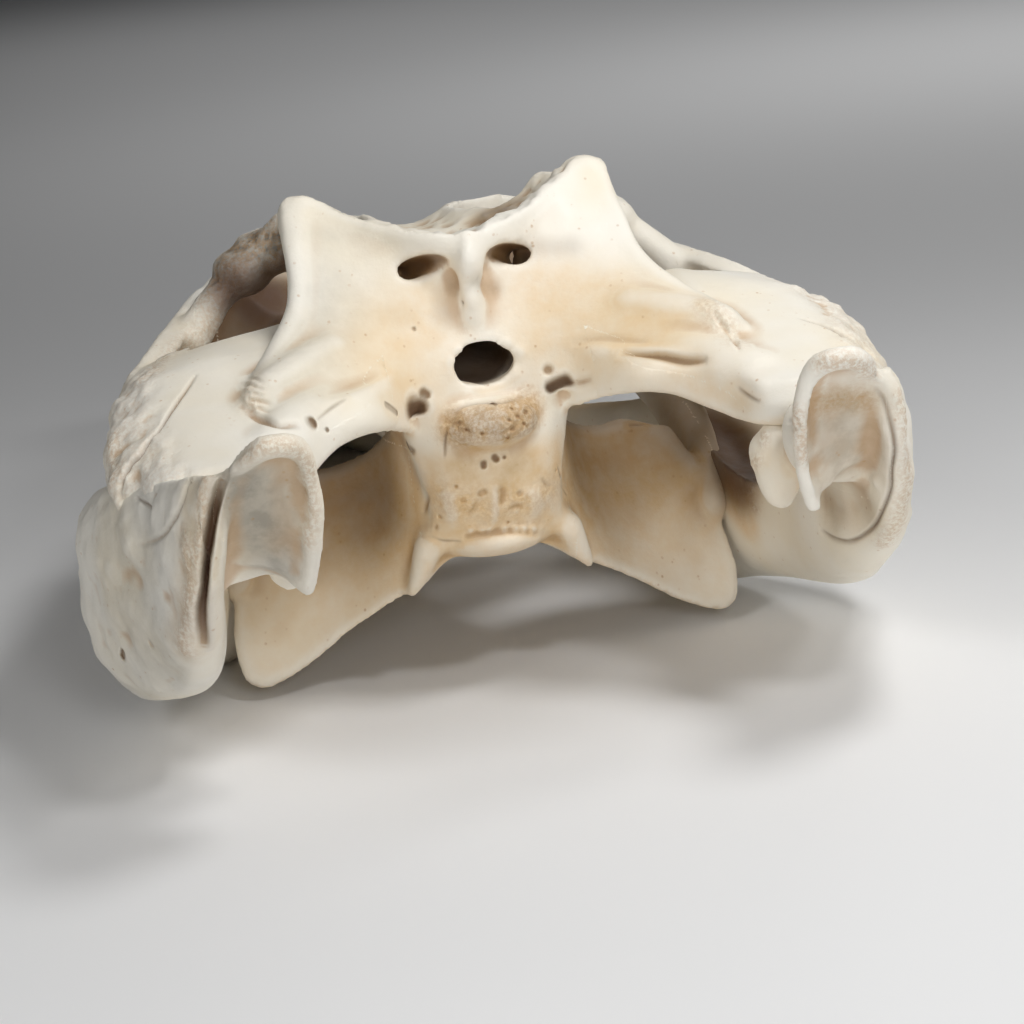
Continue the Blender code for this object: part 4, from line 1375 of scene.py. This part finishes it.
            Mark(((252, 380), (252, 405)), 5.0, 0.4, rough=0.5),
            # Sutures between quadrate and quadratojugal.
            crack((122, 498), (125, 478), (133, 463), (140, 455), (150, 440), (163, 422), (180, 398),
                  (195, 375), reach=0.9, depth=1.8, stain=0.62),
            crack((800, 318), (822, 325), (842, 335), (860, 346), (877, 360), reach=1.1, depth=1.4,
                  stain=0.45),
            crack((737, 388), (748, 396), (760, 402), reach=0.9, depth=0.9, stain=0.45),
            Mark(((112, 442), (110, 460), (118, 476)), 5.0, 0.4, rough=0.8),
            Mark(((148, 380), (165, 358), (190, 343), (215, 325)), 6.0, 0.5, rough=0.7),
            # Horns and the ridge down to the paroccipital end.
            Mark(((300, 196), (296, 240), (294, 290), (280, 330), (262, 362)), 5.0, 1.0),
            Mark(((592, 160), (622, 205), (650, 248), (690, 284), (722, 308)), 5.0, 1.0),
            Mark(((320, 235), (380, 236), (430, 246)), 6.0, 0.0, grey_and_shade=0.12),
            # Stained and warm fields round the foramen.
            Mark(((400, 330), (385, 365), (410, 385)), 20.0, 0.0, warm=0.55),
            Mark(((540, 290), (600, 300), (660, 322)), 18.0, 0.0, warm=0.6),
            Mark(((550, 340), (610, 350), (670, 375)), 16.0, 0.0, warm=0.5),
            Mark(((430, 300), (440, 330)), 12.0, 0.0, warm=0.35),
            Mark(((700, 390), (740, 400)), 12.0, 0.0, warm=0.45),
            Mark(((330, 300), (300, 350), (290, 380)), 18.0, 0.0, grey_and_shade=0.22),
            # Roof of the left eye socket: rough, with dark grey painted shade where it lies in shadow.
            Mark(((225, 268), (240, 248), (262, 240), (278, 250)), 13.0, 0.0, 2.0, grey_and_shade=1.0, rough=1.0),
            Mark(((206, 300), (220, 288), (214, 320)), 8.0, 0.0, grey_and_shade=0.6, rough=0.6),
            # Painted shade: brown on the sheltered walls behind the openings.
            Mark(((242, 292), (262, 300)), 15.0, 0.0, 2.0, stain=0.8),
            Mark(((345, 455), (325, 462)), 12.0, 0.0, 2.0, stain=0.7),
            Mark(((350, 490), (385, 505), (370, 530)), 16.0, 0.0, stain=0.3),
            Mark(((605, 405), (640, 405)), 12.0, 0.0, stain=0.4),
            # Right wing.
            crack((628, 425), (645, 424), reach=0.8, depth=0.8, stain=0.35),
        ]

    def carve(self, whole: bpy.types.Object, sight: Sight) -> None:
        """Carves the cranium: table knobs, snout pits, growth waves and the marks.

        Formula: a pit is 1.7 (1.2 - 1.5 d) mm deep, d the distance to a scattered point in cells.

        Args:
            whole: the fused cranium.
            sight: the fitted view.
        """
        marks = self.marks()
        refine(whole, sight, marks)
        carver = Carver(whole, sight)
        spot, normal = carver.points, carver.normals
        for mark in marks:
            carver.press(mark)
        x, y, z = spot.T
        # Pits of the skull roof, the snout and the flanks of the cheeks.
        roof = smooth_step(normal[:, 2], 0.35, 0.75) * smooth_step(z - 0.1 * (180 - y), 150, 172)
        roof = roof * smooth_step(normal[:, 1], -0.55, -0.2)
        snout_roof = smooth_step(normal[:, 2], -0.1, 0.5) * smooth_step(y, 150, 200)
        flank = smooth_step(np.abs(normal[:, 0]), 0.4, 0.8) * smooth_step(np.abs(x) + 0.17 * y, 112, 124)
        flank = flank * smooth_step(y, -30, 10) * (np.sign(x) == np.sign(normal[:, 0]))
        pitted = np.maximum(np.maximum(roof, snout_roof), flank)
        table = roof * smooth_step(-y, -95, -70)
        pitted = np.maximum(pitted * patches(spot, 34.0, 11), table)
        bent = spot * np.array([1.0, 0.7, 1.0]) + 2.4 * noise(spot, 9.0, 13, 1)[:, None]
        pits = np.clip(1.2 - 1.5 * cells(bent, 8.5, 3), 0, 1)
        carver.raise_by(-1.7 * pitted * pits)
        # Knobs of the skull table, and growth waves where there are no pits.
        knobs = noise(spot, 13.0, 21, 3) + 0.9 * (0.5 - cells(spot, 10.0, 25))
        carver.raise_by(table * (3.0 * knobs + 0.6 * noise(spot, 3.5, 23, 2)))
        carver.raise_by(0.35 * noise(spot, 22.0, 31, 3) * (1 - pitted))
        carver.tint("stain", (0.1 + 0.14 * table) * pitted * pits)
        # Painted shade: brown walls inside the foramen, and warm to brown ones behind the cheeks, browner
        # higher up and further in.
        inside = smooth_step(-((x / 18.0) ** 2 + ((z - self.foramen_height) / 12.5) ** 2), -1.0, -0.9)
        carver.tint("stain", 0.74 * inside * smooth_step(y, 2, 12) * (y < 70))
        shelter_shade = smooth_step(np.abs(x), 27, 35) * smooth_step(-np.abs(x), -118, -108) * smooth_step(y, -2, 8)
        shelter_shade = shelter_shade * smooth_step(-z, -118, -106) * smooth_step(-y, -130, -70)
        carver.tint("warm", shelter_shade * (0.3 + 0.6 * smooth_step(z, 20, 75)))
        carver.tint("stain", 0.54 * shelter_shade * smooth_step(z, 36, 84) * smooth_step(y, 10, 30))
        # Warm plate under the condyle, rough lumps of the cheek ends and warm undersides; the warmth is
        # partly stain and partly painted warm shade.
        front = smooth_step(-np.abs(x), -36, -30) * smooth_step(-normal[:, 1], 0.1, 0.5) * (y < 14)
        carver.tint("warm", 0.75 * front * smooth_step(-z, -112, -100))
        lumps = smooth_step(np.abs(x), 112, 132) * smooth_step(-y, -60, -25)
        lumps = lumps * smooth_step(np.abs(normal[:, 0]), 0.15, 0.5)
        carver.raise_by(lumps * (2.6 * noise(spot, 11.0, 61, 2) + 1.1 * noise(spot, 4.5, 63, 2)))
        carver.tint("rough", 0.35 * lumps)
        # Warmer on the faces turned down: partly stain, partly painted warm shade under the bone.
        carver.tint("warm", 0.8 * smooth_step(-normal[:, 2], 0.2, 0.7) * smooth_step(-z, -130, -110))
        # Painted shade: brown in the slits under the skull table and in the jaw-muscle chambers.
        deep = smooth_step(y, 11.0, 16.0)
        for way in (-1, 1):
            carver.shade_along([(way * 16, 12, 178), (way * 23, 22, 175)], 12.0, deep, warm=1.0, stain=0.55)
            chamber = [(way * 40, 80, 150), (way * 60, 110, 130), (way * 60, 150, 120)]
            carver.shade_along(chamber, 42.0, 1.0, warm=0.7, stain=0.68)
        carver.roughen()
        carver.done()

    def build(self, sight: Sight) -> list[bpy.types.Object]:
        """Builds the cranium as its named bones.

        Args:
            sight: the fitted view.

        Returns:
            The pieces.
        """
        whole = shaped("braincase_bone", self.solids(), self.openings(), self.voxel, self.rounds)
        self.carve(whole, sight)
        pieces = part_all(whole, self.rostrum)
        for side in Side:
            pieces += part_all(whole, self.paired, side)
        return pieces + part_all(whole, self.palate) + [(whole, "braincase")]


# The lower jaw.


@dataclass(frozen=True)
class LowerJaw:
    """One half of the lower jaw, worked out for the right side."""

    side: Side
    voxel: float = 1.6
    rounds: int = 9
    floor: float = 4.0
    # Blocks that part a half: the joint, and the rear of the branch.
    parting: Parting = (
        ("articular", (((0, -58, 0), (0, 1, 0)), ((118, -136, 0), (0.95, -0.3, 0.0)),
                       ((120, 0, 84), (0.5, 0, -1)))),
        ("angular", (((0, 158, 40), (0, 1, 0.35)),)),
    )
    # Distance forward, inner X, outer X, lowest Z, highest Z, and how far the top leans outward.
    sections: tuple[tuple[float, ...], ...] = (
        (-130, 117, 128, 112, 141, -1), (-120, 119, 132, 94, 140, -1), (-104, 120, 138, 75, 136, 0),
        (-85, 119, 143, 60, 131, 0), (-62, 118, 149, 46, 126, 2), (-35, 118, 158, 34, 120, 3),
        (0, 118, 167, 24, 113, 2), (30, 110, 164, 19, 107, 0), (60, 103, 149, 13, 101, -1),
        (80, 98, 137, 8, 96, -1), (100, 92, 126, 2.5, 91, 0), (140, 80, 109, 1.5, 81, 0),
        (165, 74, 99, 5, 76, 0), (200, 66, 88, 12, 70, 0), (250, 55, 76, 14, 65, 0),
        (300, 45, 65, 15, 65, 0), (350, 35, 57, 13, 62, 0), (400, 25, 54, 8, 54, 0),
        (435, 2, 48, 3, 57, 0), (462, -8, 39, 2, 63, 0), (495, -10, 35, 6, 61, 0),
        (525, -10, 29, 15, 59, 0), (545, -8, 17, 26, 57, 0), (554, -4, 7, 36, 52, 0),
    )
    process: Grid = (
        ((92, -121, 91), (101, -116, 98), (112, -113, 103), (123, -108, 104)),
        ((91, -124, 104), (100, -119, 109), (112, -117, 111), (124, -112, 112)),
        ((88, -129, 120), (98, -125, 122), (111, -125, 122), (122, -123, 121)),
        ((88, -134, 137), (97, -132, 138), (108, -133, 137), (117, -131, 136)),
        ((92, -139, 148), (98, -143, 151), (105, -143, 150), (112, -138, 145)),
    )
    rim: tuple[Triple, ...] = (
        (113, -136, 144), (106, -142, 150), (98, -143, 151), (92, -139, 148), (89, -134, 139),
        (88, -129, 124), (89, -125, 111), (91, -122, 101), (93, -120, 93),
    )
    edge: tuple[Triple, ...] = (
        (117, -130, 138), (123, -124, 128), (128, -117, 113), (131, -103, 95), (132, -88, 80),
        (132, -72, 66),
    )

    def branch(self) -> Solid:
        """Skins the cross-sections, each a rounded box leaning outward.

        Formula: across (inner + outer) / 2 + c (outer - inner) / 2 + lean s, up (low + high) / 2
        + s (high - low) / 2, with c and s the cosine and sine raised to 0.75, signs kept.

        Returns:
            The solid branch.
        """
        y, inner, outer, low, high, lean = (v[:, None] for v in spline(self.sections, 140).T)
        turn = np.linspace(0, 2 * math.pi, 40, endpoint=False)[None]
        c = np.sign(np.cos(turn)) * np.abs(np.cos(turn)) ** 0.75
        s = np.sign(np.sin(turn)) * np.abs(np.sin(turn)) ** 0.75
        x = (inner + outer) / 2 + c * (outer - inner) / 2 + lean * s
        z = (low + high) / 2 + s * (high - low) / 2
        return skin(np.stack([x, y + 0 * x, z], -1))

    def solids(self) -> list[Solid]:
        """Returns the solids of this half."""
        shapes = [
            self.branch(),
            plate(self.process, (2, 16, -3), 28, 28),
            tube(self.rim, (4, 4.5, 4.5, 4.5, 4, 4, 3.8, 3.6, 3.4), 16, 48),
            tube(self.edge, (5, 5.5, 6, 6, 6, 6), 16, 40),
            tube([(118, -92, 108), (104, -100, 112), (98, -108, 118)], (14, 13, 11), 20, 16, 1.2),
            tube([(118, -80, 106), (104, -80, 105)], (12, 11), 20, 12),
            ball((94, -79, 99.5), (10, 9, 18)),
            tube([(92, -76, 104), (108, -78, 103), (128, -70, 103), (142, -62, 103)], (9, 11, 11, 10)),
        ]
        return [s.on(self.side) for s in shapes]

    def openings(self) -> list[Solid]:
        """Returns the openings of this half."""
        shapes = [ball((121, 30, 112), (31, 76, 48)), ball((108, 98, 52), (40, 24, 10))]
        return [s.on(self.side) for s in shapes]

    def marks(self) -> list[Mark]:
        """Returns the marks that the back view shows on this half."""
        if self.side is Side.LEFT:
            return [
                # The deep gap between the articular blade and the plate beside it, with painted shade in it.
                Mark(((233, 453), (223, 478), (214, 508), (207, 545), (203, 580), (201, 612),
                      (204, 645)), 1.9, -8.0, 1.6, stain=0.97, inward=True, taper=0.45),
                Mark(((226, 470), (219, 500), (213, 540), (209, 575)), 1.2, 0.8),
                Mark(((212, 590), (211, 620), (210, 648)), 2.0, 0.8, stain=0.12),
                Mark(((184, 540), (188, 590), (184, 650)), 4.0, 0.3, rough=0.9),
                Mark(((206, 478), (201, 520), (193, 560)), 3.2, 0.3, rough=0.8),
                hole((120, 654), (120, 658), reach=1.8, depth=3.0, stain=0.6),
                hole((149, 645), reach=2.0, depth=1.2, stain=0.2),
                crack((135, 545), (155, 538), (170, 520), (180, 500), (190, 478), (200, 465), (235, 445),
                      reach=1.3, depth=1.6, stain=0.3),
                crack((133, 495), (140, 502), (148, 510), reach=0.9, depth=1.0, stain=0.5),
                crack((150, 472), (168, 468), (190, 470), reach=0.8, depth=0.7, stain=0.25),
                Mark(((240, 456), (265, 445), (295, 450), (312, 472)), 4.0, 0.2, rough=0.8),
                Mark(((308, 485), (312, 515), (306, 542)), 3.8, 0.2, rough=0.7),
                # Grey dirt and painted shade on the blade, and painted shade in grey over the left jaw's
                # outer face, which the lamps light less.
                Mark(((246, 485), (262, 520), (275, 560)), 15.0, -0.6, grey_and_shade=0.62, stain=0.16),
                Mark(((130, 540), (140, 600), (150, 650)), 30.0, 0.0, 2.0, grey_and_shade=0.22),
                Mark(((195, 500), (190, 580), (185, 650)), 12.0, 0.0, 2.0, warm=0.3, grey_and_shade=0.1),
            ]
        return [
            # Painted shade: brown and warm on the chamber's inner wall beside the wing.
            Mark(((706, 425), (722, 440), (742, 475)), 17.0, 0.0, 2.0, warm=0.9, stain=0.88),
            Mark(((735, 500), (745, 520)), 10.0, 0.0, 2.0, warm=0.6),
            Mark(((790, 388), (797, 415), (803, 440), (806, 458)), 4.0, 0.2, rough=0.9),
            Mark(((800, 371), (822, 362), (850, 362), (878, 372)), 4.5, 0.2, rough=0.9),
            Mark(((826, 404), (845, 400), (862, 402)), 6.0, 0.0, rough=0.7, warm=0.6),
            crack((876, 388), (885, 402), (892, 428), (895, 450), (891, 470), (890, 490), (882, 510),
                  (870, 530), (850, 542), (830, 537), (820, 530), reach=1.0, depth=1.5, stain=0.62),
            Mark(((902, 396), (909, 440), (908, 480), (898, 520), (884, 545)), 4.0, 0.3, rough=0.85),
            Mark(((822, 500), (842, 512), (862, 505)), 9.0, -2.0, stain=0.2, warm=0.3),
            Mark(((812, 487), (840, 478), (876, 482)), 2.6, 0.9),
            Mark(((764, 436), (755, 462), (751, 490), (756, 508)), 2.6, 0.2, rough=0.8),
            Mark(((838, 418), (845, 440), (848, 462)), 17.0, 0.0, 2.0, warm=0.35, grey_and_shade=0.34),
            crack((779, 411), (788, 420), (797, 428), reach=1.2, depth=1.4, stain=0.5),
            Mark(((845, 420), (845, 455)), 12.0, -1.2, grey_and_shade=0.1),
            Mark(((780, 460), (790, 490)), 9.0, 0.0, warm=0.35),
        ]

    def carve(self, whole: bpy.types.Object, sight: Sight) -> None:
        """Carves the half: outer pits and furrows, growth waves and the marks.

        Formula: a pit is 1.5 (1.15 - 1.5 d) mm deep, d the distance to a scattered point in cells
        that are stretched along the jaw.

        Args:
            whole: the fused half.
            sight: the fitted view.
        """
        marks = self.marks()
        refine(whole, sight, marks)
        carver = Carver(whole, sight)
        for mark in marks:
            carver.press(mark)
        # Pits of the outer face in front, and growth waves over all.
        spot, normal = carver.points, carver.normals
        outward = normal[:, 0] * self.side.value
        outer = smooth_step(outward, 0.3, 0.75) * smooth_step(spot[:, 1], 40, 100)
        outer = outer * patches(spot, 30.0, 45)
        pits = np.clip(1.15 - 1.5 * cells(spot * np.array([1.0, 0.6, 1.0]), 7.5, 41), 0, 1)
        carver.raise_by(-1.5 * outer * pits)
        carver.tint("stain", 0.1 * outer * pits)
        carver.raise_by(0.4 * noise(spot, 17.0, 43, 3))
        # Lumps of the rear of the branch.
        rear = smooth_step(outward, 0.2, 0.7) * smooth_step(-spot[:, 1], -70, -20)
        carver.raise_by(rear * (2.8 * noise(spot * np.array([1.0, 1.0, 1.25]), 19.0, 47, 2) - 1.0))
        carver.raise_by(rear * 0.5 * noise(spot, 6.0, 49, 2))
        carver.roughen()
        # Nothing is pressed through the floor.
        carver.move[:, 2] *= smooth_step(spot[:, 2], self.floor + 0.5, self.floor + 5)
        carver.done()

    def build(self, sight: Sight) -> list[bpy.types.Object]:
        """Builds this half as its named bones.

        Args:
            sight: the fitted view.

        Returns:
            The pieces.
        """
        node = "dentary_" + self.side.name.lower()
        whole = shaped(node + "_bone", self.solids(), self.openings(), self.voxel, self.rounds)
        self.carve(whole, sight)
        bounds = block((((0, 0, self.floor), (0, 0, -1)), ((0, 0, 0), (-1, 0, 0))), self.side)
        join(whole, bounds, Join.KEEP)
        drop(bounds)
        keep_largest(whole)
        return part_all(whole, self.parting, self.side) + [(whole, node)]


# Teeth.


@dataclass(frozen=True)
class ToothRow:
    """One row of teeth on both sides."""

    name: str
    slot: str
    # Root place on the right side, crown length, radius.
    teeth: tuple[tuple[float, float, float, float, float], ...]
    down: bool
    seed: int
    sides: int = 18
    rings: int = 16

    def crown(self, root: np.ndarray, length: float, radius: float, sway: np.ndarray) -> Solid:
        """Makes one tooth: a cone with two keels and faint flutes that bends inward.

        Formula: radius (1 - t^1.6)^0.8 (1 + 0.03 cos 8a + 0.05 cos 2a) round a centre that moves
        along the tooth by t and sideways by t squared.

        Args:
            root: where it leaves the bone.
            length: crown length.
            radius: crown radius.
            sway: how far the tip moves aside.

        Returns:
            The closed tooth.
        """
        t = np.linspace(-0.35, 0.985, self.rings)[:, None]
        turn = np.linspace(0, 2 * math.pi, self.sides, endpoint=False)[None]
        size = radius * (1 - np.clip(t, 0, 1) ** 1.6) ** 0.8
        size = size * (1 + 0.03 * np.cos(8 * turn) + 0.05 * np.cos(2 * turn))
        way = -1.0 if self.down else 1.0
        lean = np.clip(t, 0, 1) ** 2
        x = root[0] + size * np.cos(turn) + sway[0] * lean
        y = root[1] + size * np.sin(turn) * 0.94 + sway[1] * lean
        z = root[2] + way * length * t + 0 * turn
        return skin(np.stack([x, y, z], -1))

    def build(self) -> bpy.types.Object:
        """Builds the row as one object with its length attribute."""
        chance = np.random.default_rng(self.seed)
        solids = []
        for x, y, z, length, radius in self.teeth:
            for side in Side:
                grown = length * chance.uniform(0.94, 1.04)
                sway = np.array([-1.2 - 0.05 * grown + chance.uniform(-0.4, 0.4),
                                 -0.06 * grown + chance.uniform(-0.5, 0.5)])
                solids.append(self.crown(np.array([x, y, z]), grown, radius, sway).on(side))
        thing = lay_mesh(self.name, solids)
        rings = np.repeat(np.linspace(-0.3, 1, self.rings), self.sides)
        along = np.tile(np.concatenate([rings, [-0.3, 1.0]]), len(solids))
        kept = thing.data.attributes.new("along", "FLOAT", "POINT")
        kept.data.foreach_set("value", along.astype(np.float32))
        return thing


@dataclass(frozen=True)
class Dentition:
    """Both rows of teeth, rooted along the edges of the jaws."""

    # Distance forward, crown length, radius.
    upper: tuple[tuple[float, float, float], ...] = (
        (557, 15, 3.4), (548, 17, 4.0), (534, 22, 5.2), (518, 25, 6.0), (499, 17, 4.4), (450, 13, 3.8),
        (438, 16, 4.6), (424, 21, 5.6), (408, 25, 6.6), (390, 28, 7.4), (371, 20, 5.6), (353, 15, 4.6),
        (336, 15, 4.4), (319, 17, 4.8), (301, 18, 5.2), (282, 17, 5.0), (263, 15, 4.6), (244, 13, 4.4),
        (226, 11, 4.2),
    )
    lower: tuple[tuple[float, float, float], ...] = (
        (463, 27, 6.2), (362, 9, 4.2), (345, 10, 4.4), (328, 10, 4.4), (310, 9, 4.4), (292, 9, 4.2),
        (273, 8, 4.0),
    )

    def rows(self, snout: Snout, jaw: LowerJaw) -> list[ToothRow]:
        """Roots the teeth on the sections of snout and jaw.

        Args:
            snout: the upper jaw.
            jaw: one half of the lower jaw.

        Returns:
            The upper and the lower row.
        """
        def along(sections: Any, column: int, y: float) -> float:
            """Reads one measure of the smoothed sections at a distance forward."""
            table = spline(sections, 400)
            return float(np.interp(y, table[:, 0], table[:, column]))

        # Upper roots: a little inside the edge, the foremost ones 3 mm further back.
        high = [(max(along(snout.sections, 1, y) * 0.9 - r * 0.3, 5.5), y - (3 if y > 550 else 0),
                 along(snout.sections, 3, y) + 1, length + 1, r) for y, length, r in self.upper]
        # Lower roots: 2 mm inside the outer face, the fourth tooth 5 mm further out.
        low = [(along(jaw.sections, 2, y) - r - 2 + (5 if y > 450 else 0), y,
                along(jaw.sections, 4, y) - 3, length + 3, r) for y, length, r in self.lower]
        return [ToothRow("teeth_upper", "rostrum", tuple(high), True, 5),
                ToothRow("teeth_lower", "dentary_right", tuple(low), False, 6)]


# Studio.


@dataclass(frozen=True)
class Lamp:
    """A round soft lamp: place, aim and width in metres, power in watts."""

    name: str
    place: Triple
    aim: Triple
    width: float
    watts: float

    def hang(self) -> None:
        """Hangs the lamp."""
        data = bpy.data.lights.new(self.name, "AREA")
        data.shape = "DISK"
        data.size = self.width
        data.energy = self.watts
        way = (Vector(self.aim) - Vector(self.place)).normalized()
        turn = way.to_track_quat("-Z", "Y").to_matrix().to_4x4()
        linked(self.name, data).matrix_world = Matrix.Translation(self.place) @ turn


# The mix that fits the photo's tones: four lamps round the skull, one before it, three on the floor.
LAMPS = (
    Lamp("key", (0.38, -1.05, 1.12), (0.05, -0.36, 0.05), 0.2, 3.4),
    Lamp("right", (1.1, -0.35, 0.85), (0.0, -0.3, 0.05), 0.3, 2.2),
    Lamp("over", (0.28, -0.39, 0.75), (0.2, -0.4, 0.0), 0.2, 2.1),
    Lamp("left", (-0.9, -0.9, 0.9), (0.0, -0.3, 0.05), 0.5, 4.0),
    Lamp("front", (0.0, -1.35, 0.5), (0.0, -0.35, 0.06), 0.3, 3.0),
    Lamp("rear", (0.2, 1.6, 1.2), (0.2, 1.6, 0.0), 0.8, 1.1),
    Lamp("rear_right", (1.2, 1.6, 1.2), (1.2, 1.6, 0.0), 0.8, 6.4),
    Lamp("far", (0.6, 3.2, 1.6), (0.6, 3.2, 0.0), 1.0, 4.7),
)


@dataclass(frozen=True)
class Studio:
    """Pale card, soft lamps and the fitted camera."""

    sight: Sight
    # Half width of the card, and where and how fast it rises, in metres.
    size: float = 9.0
    rise_from: float = 5.6
    rise: float = 0.3
    air: str = "#DDE3EA"
    air_strength: float = 0.012
    sensor: float = 36.0

    def floor(self) -> bpy.types.Object:
        """Lays the card, level at first and rising far behind the skull.

        Formula: height 0.3 (max(0, y - 5.6))^2 in metres, y running away from the camera.

        Returns:
            The card.
        """
        u, v = np.meshgrid(np.linspace(-1, 1, 41), np.linspace(-0.6, 1, 81), indexing="ij")
        x, y = u * self.size, v * self.size
        z = self.rise * np.maximum(0, y - self.rise_from) ** 2
        number = np.arange(x.size).reshape(x.shape)
        quads = np.stack([number[:-1, :-1], number[1:, :-1], number[1:, 1:], number[:-1, 1:]], -1)
        mesh = bpy.data.meshes.new("studio_floor")
        mesh.from_pydata(np.stack([x, y, z], -1).reshape(-1, 3).tolist(), [], quads.reshape(-1, 4).tolist())
        mesh.shade_smooth()
        thing = linked("studio_floor", mesh)
        mesh.materials.append(PaleFloor().material())
        return thing

    def camera(self) -> None:
        """Sets the fitted camera."""
        right, up, forward = self.sight.axes()
        data = bpy.data.cameras.new("camera")
        data.sensor_width = self.sensor
        data.lens = self.sensor * self.sight.focal / self.sight.picture
        data.clip_end = 60.0
        thing = linked("camera", data)
        turn = Matrix([[right[i], up[i], -forward[i]] for i in range(3)])
        thing.matrix_world = Matrix.Translation(placed(self.sight.place())) @ turn.to_4x4()
        bpy.context.scene.camera = thing

    def build(self) -> None:
        """Builds the studio."""
        self.floor()
        self.camera()
        scene = bpy.context.scene
        scene.view_settings.view_transform = "Standard"
        world = bpy.data.worlds.new("studio")
        world.use_nodes = True
        backdrop = world.node_tree.nodes["Background"]
        feed(world.node_tree, backdrop, {"Color": shade(self.air), "Strength": self.air_strength})
        scene.world = world
        for lamp in LAMPS:
            lamp.hang()


def main() -> None:
    """Builds the studio, the skull and its finishes, and logs each piece's triangle count."""
    logging.basicConfig(level=logging.INFO, format="%(message)s")
    sight = Sight()
    Studio(sight).build()
    bone = DryBone().material()
    enamel = ToothEnamel().material()
    cranium = Cranium()
    halves = [LowerJaw(side) for side in Side]
    for group in [cranium] + halves:
        for piece, node in group.build(sight):
            dress(piece, bone, node, node)
    for row in Dentition().rows(cranium.snout, halves[0]):
        dress(row.build(), enamel, row.slot, None)


if __name__ == "__main__":
    main()
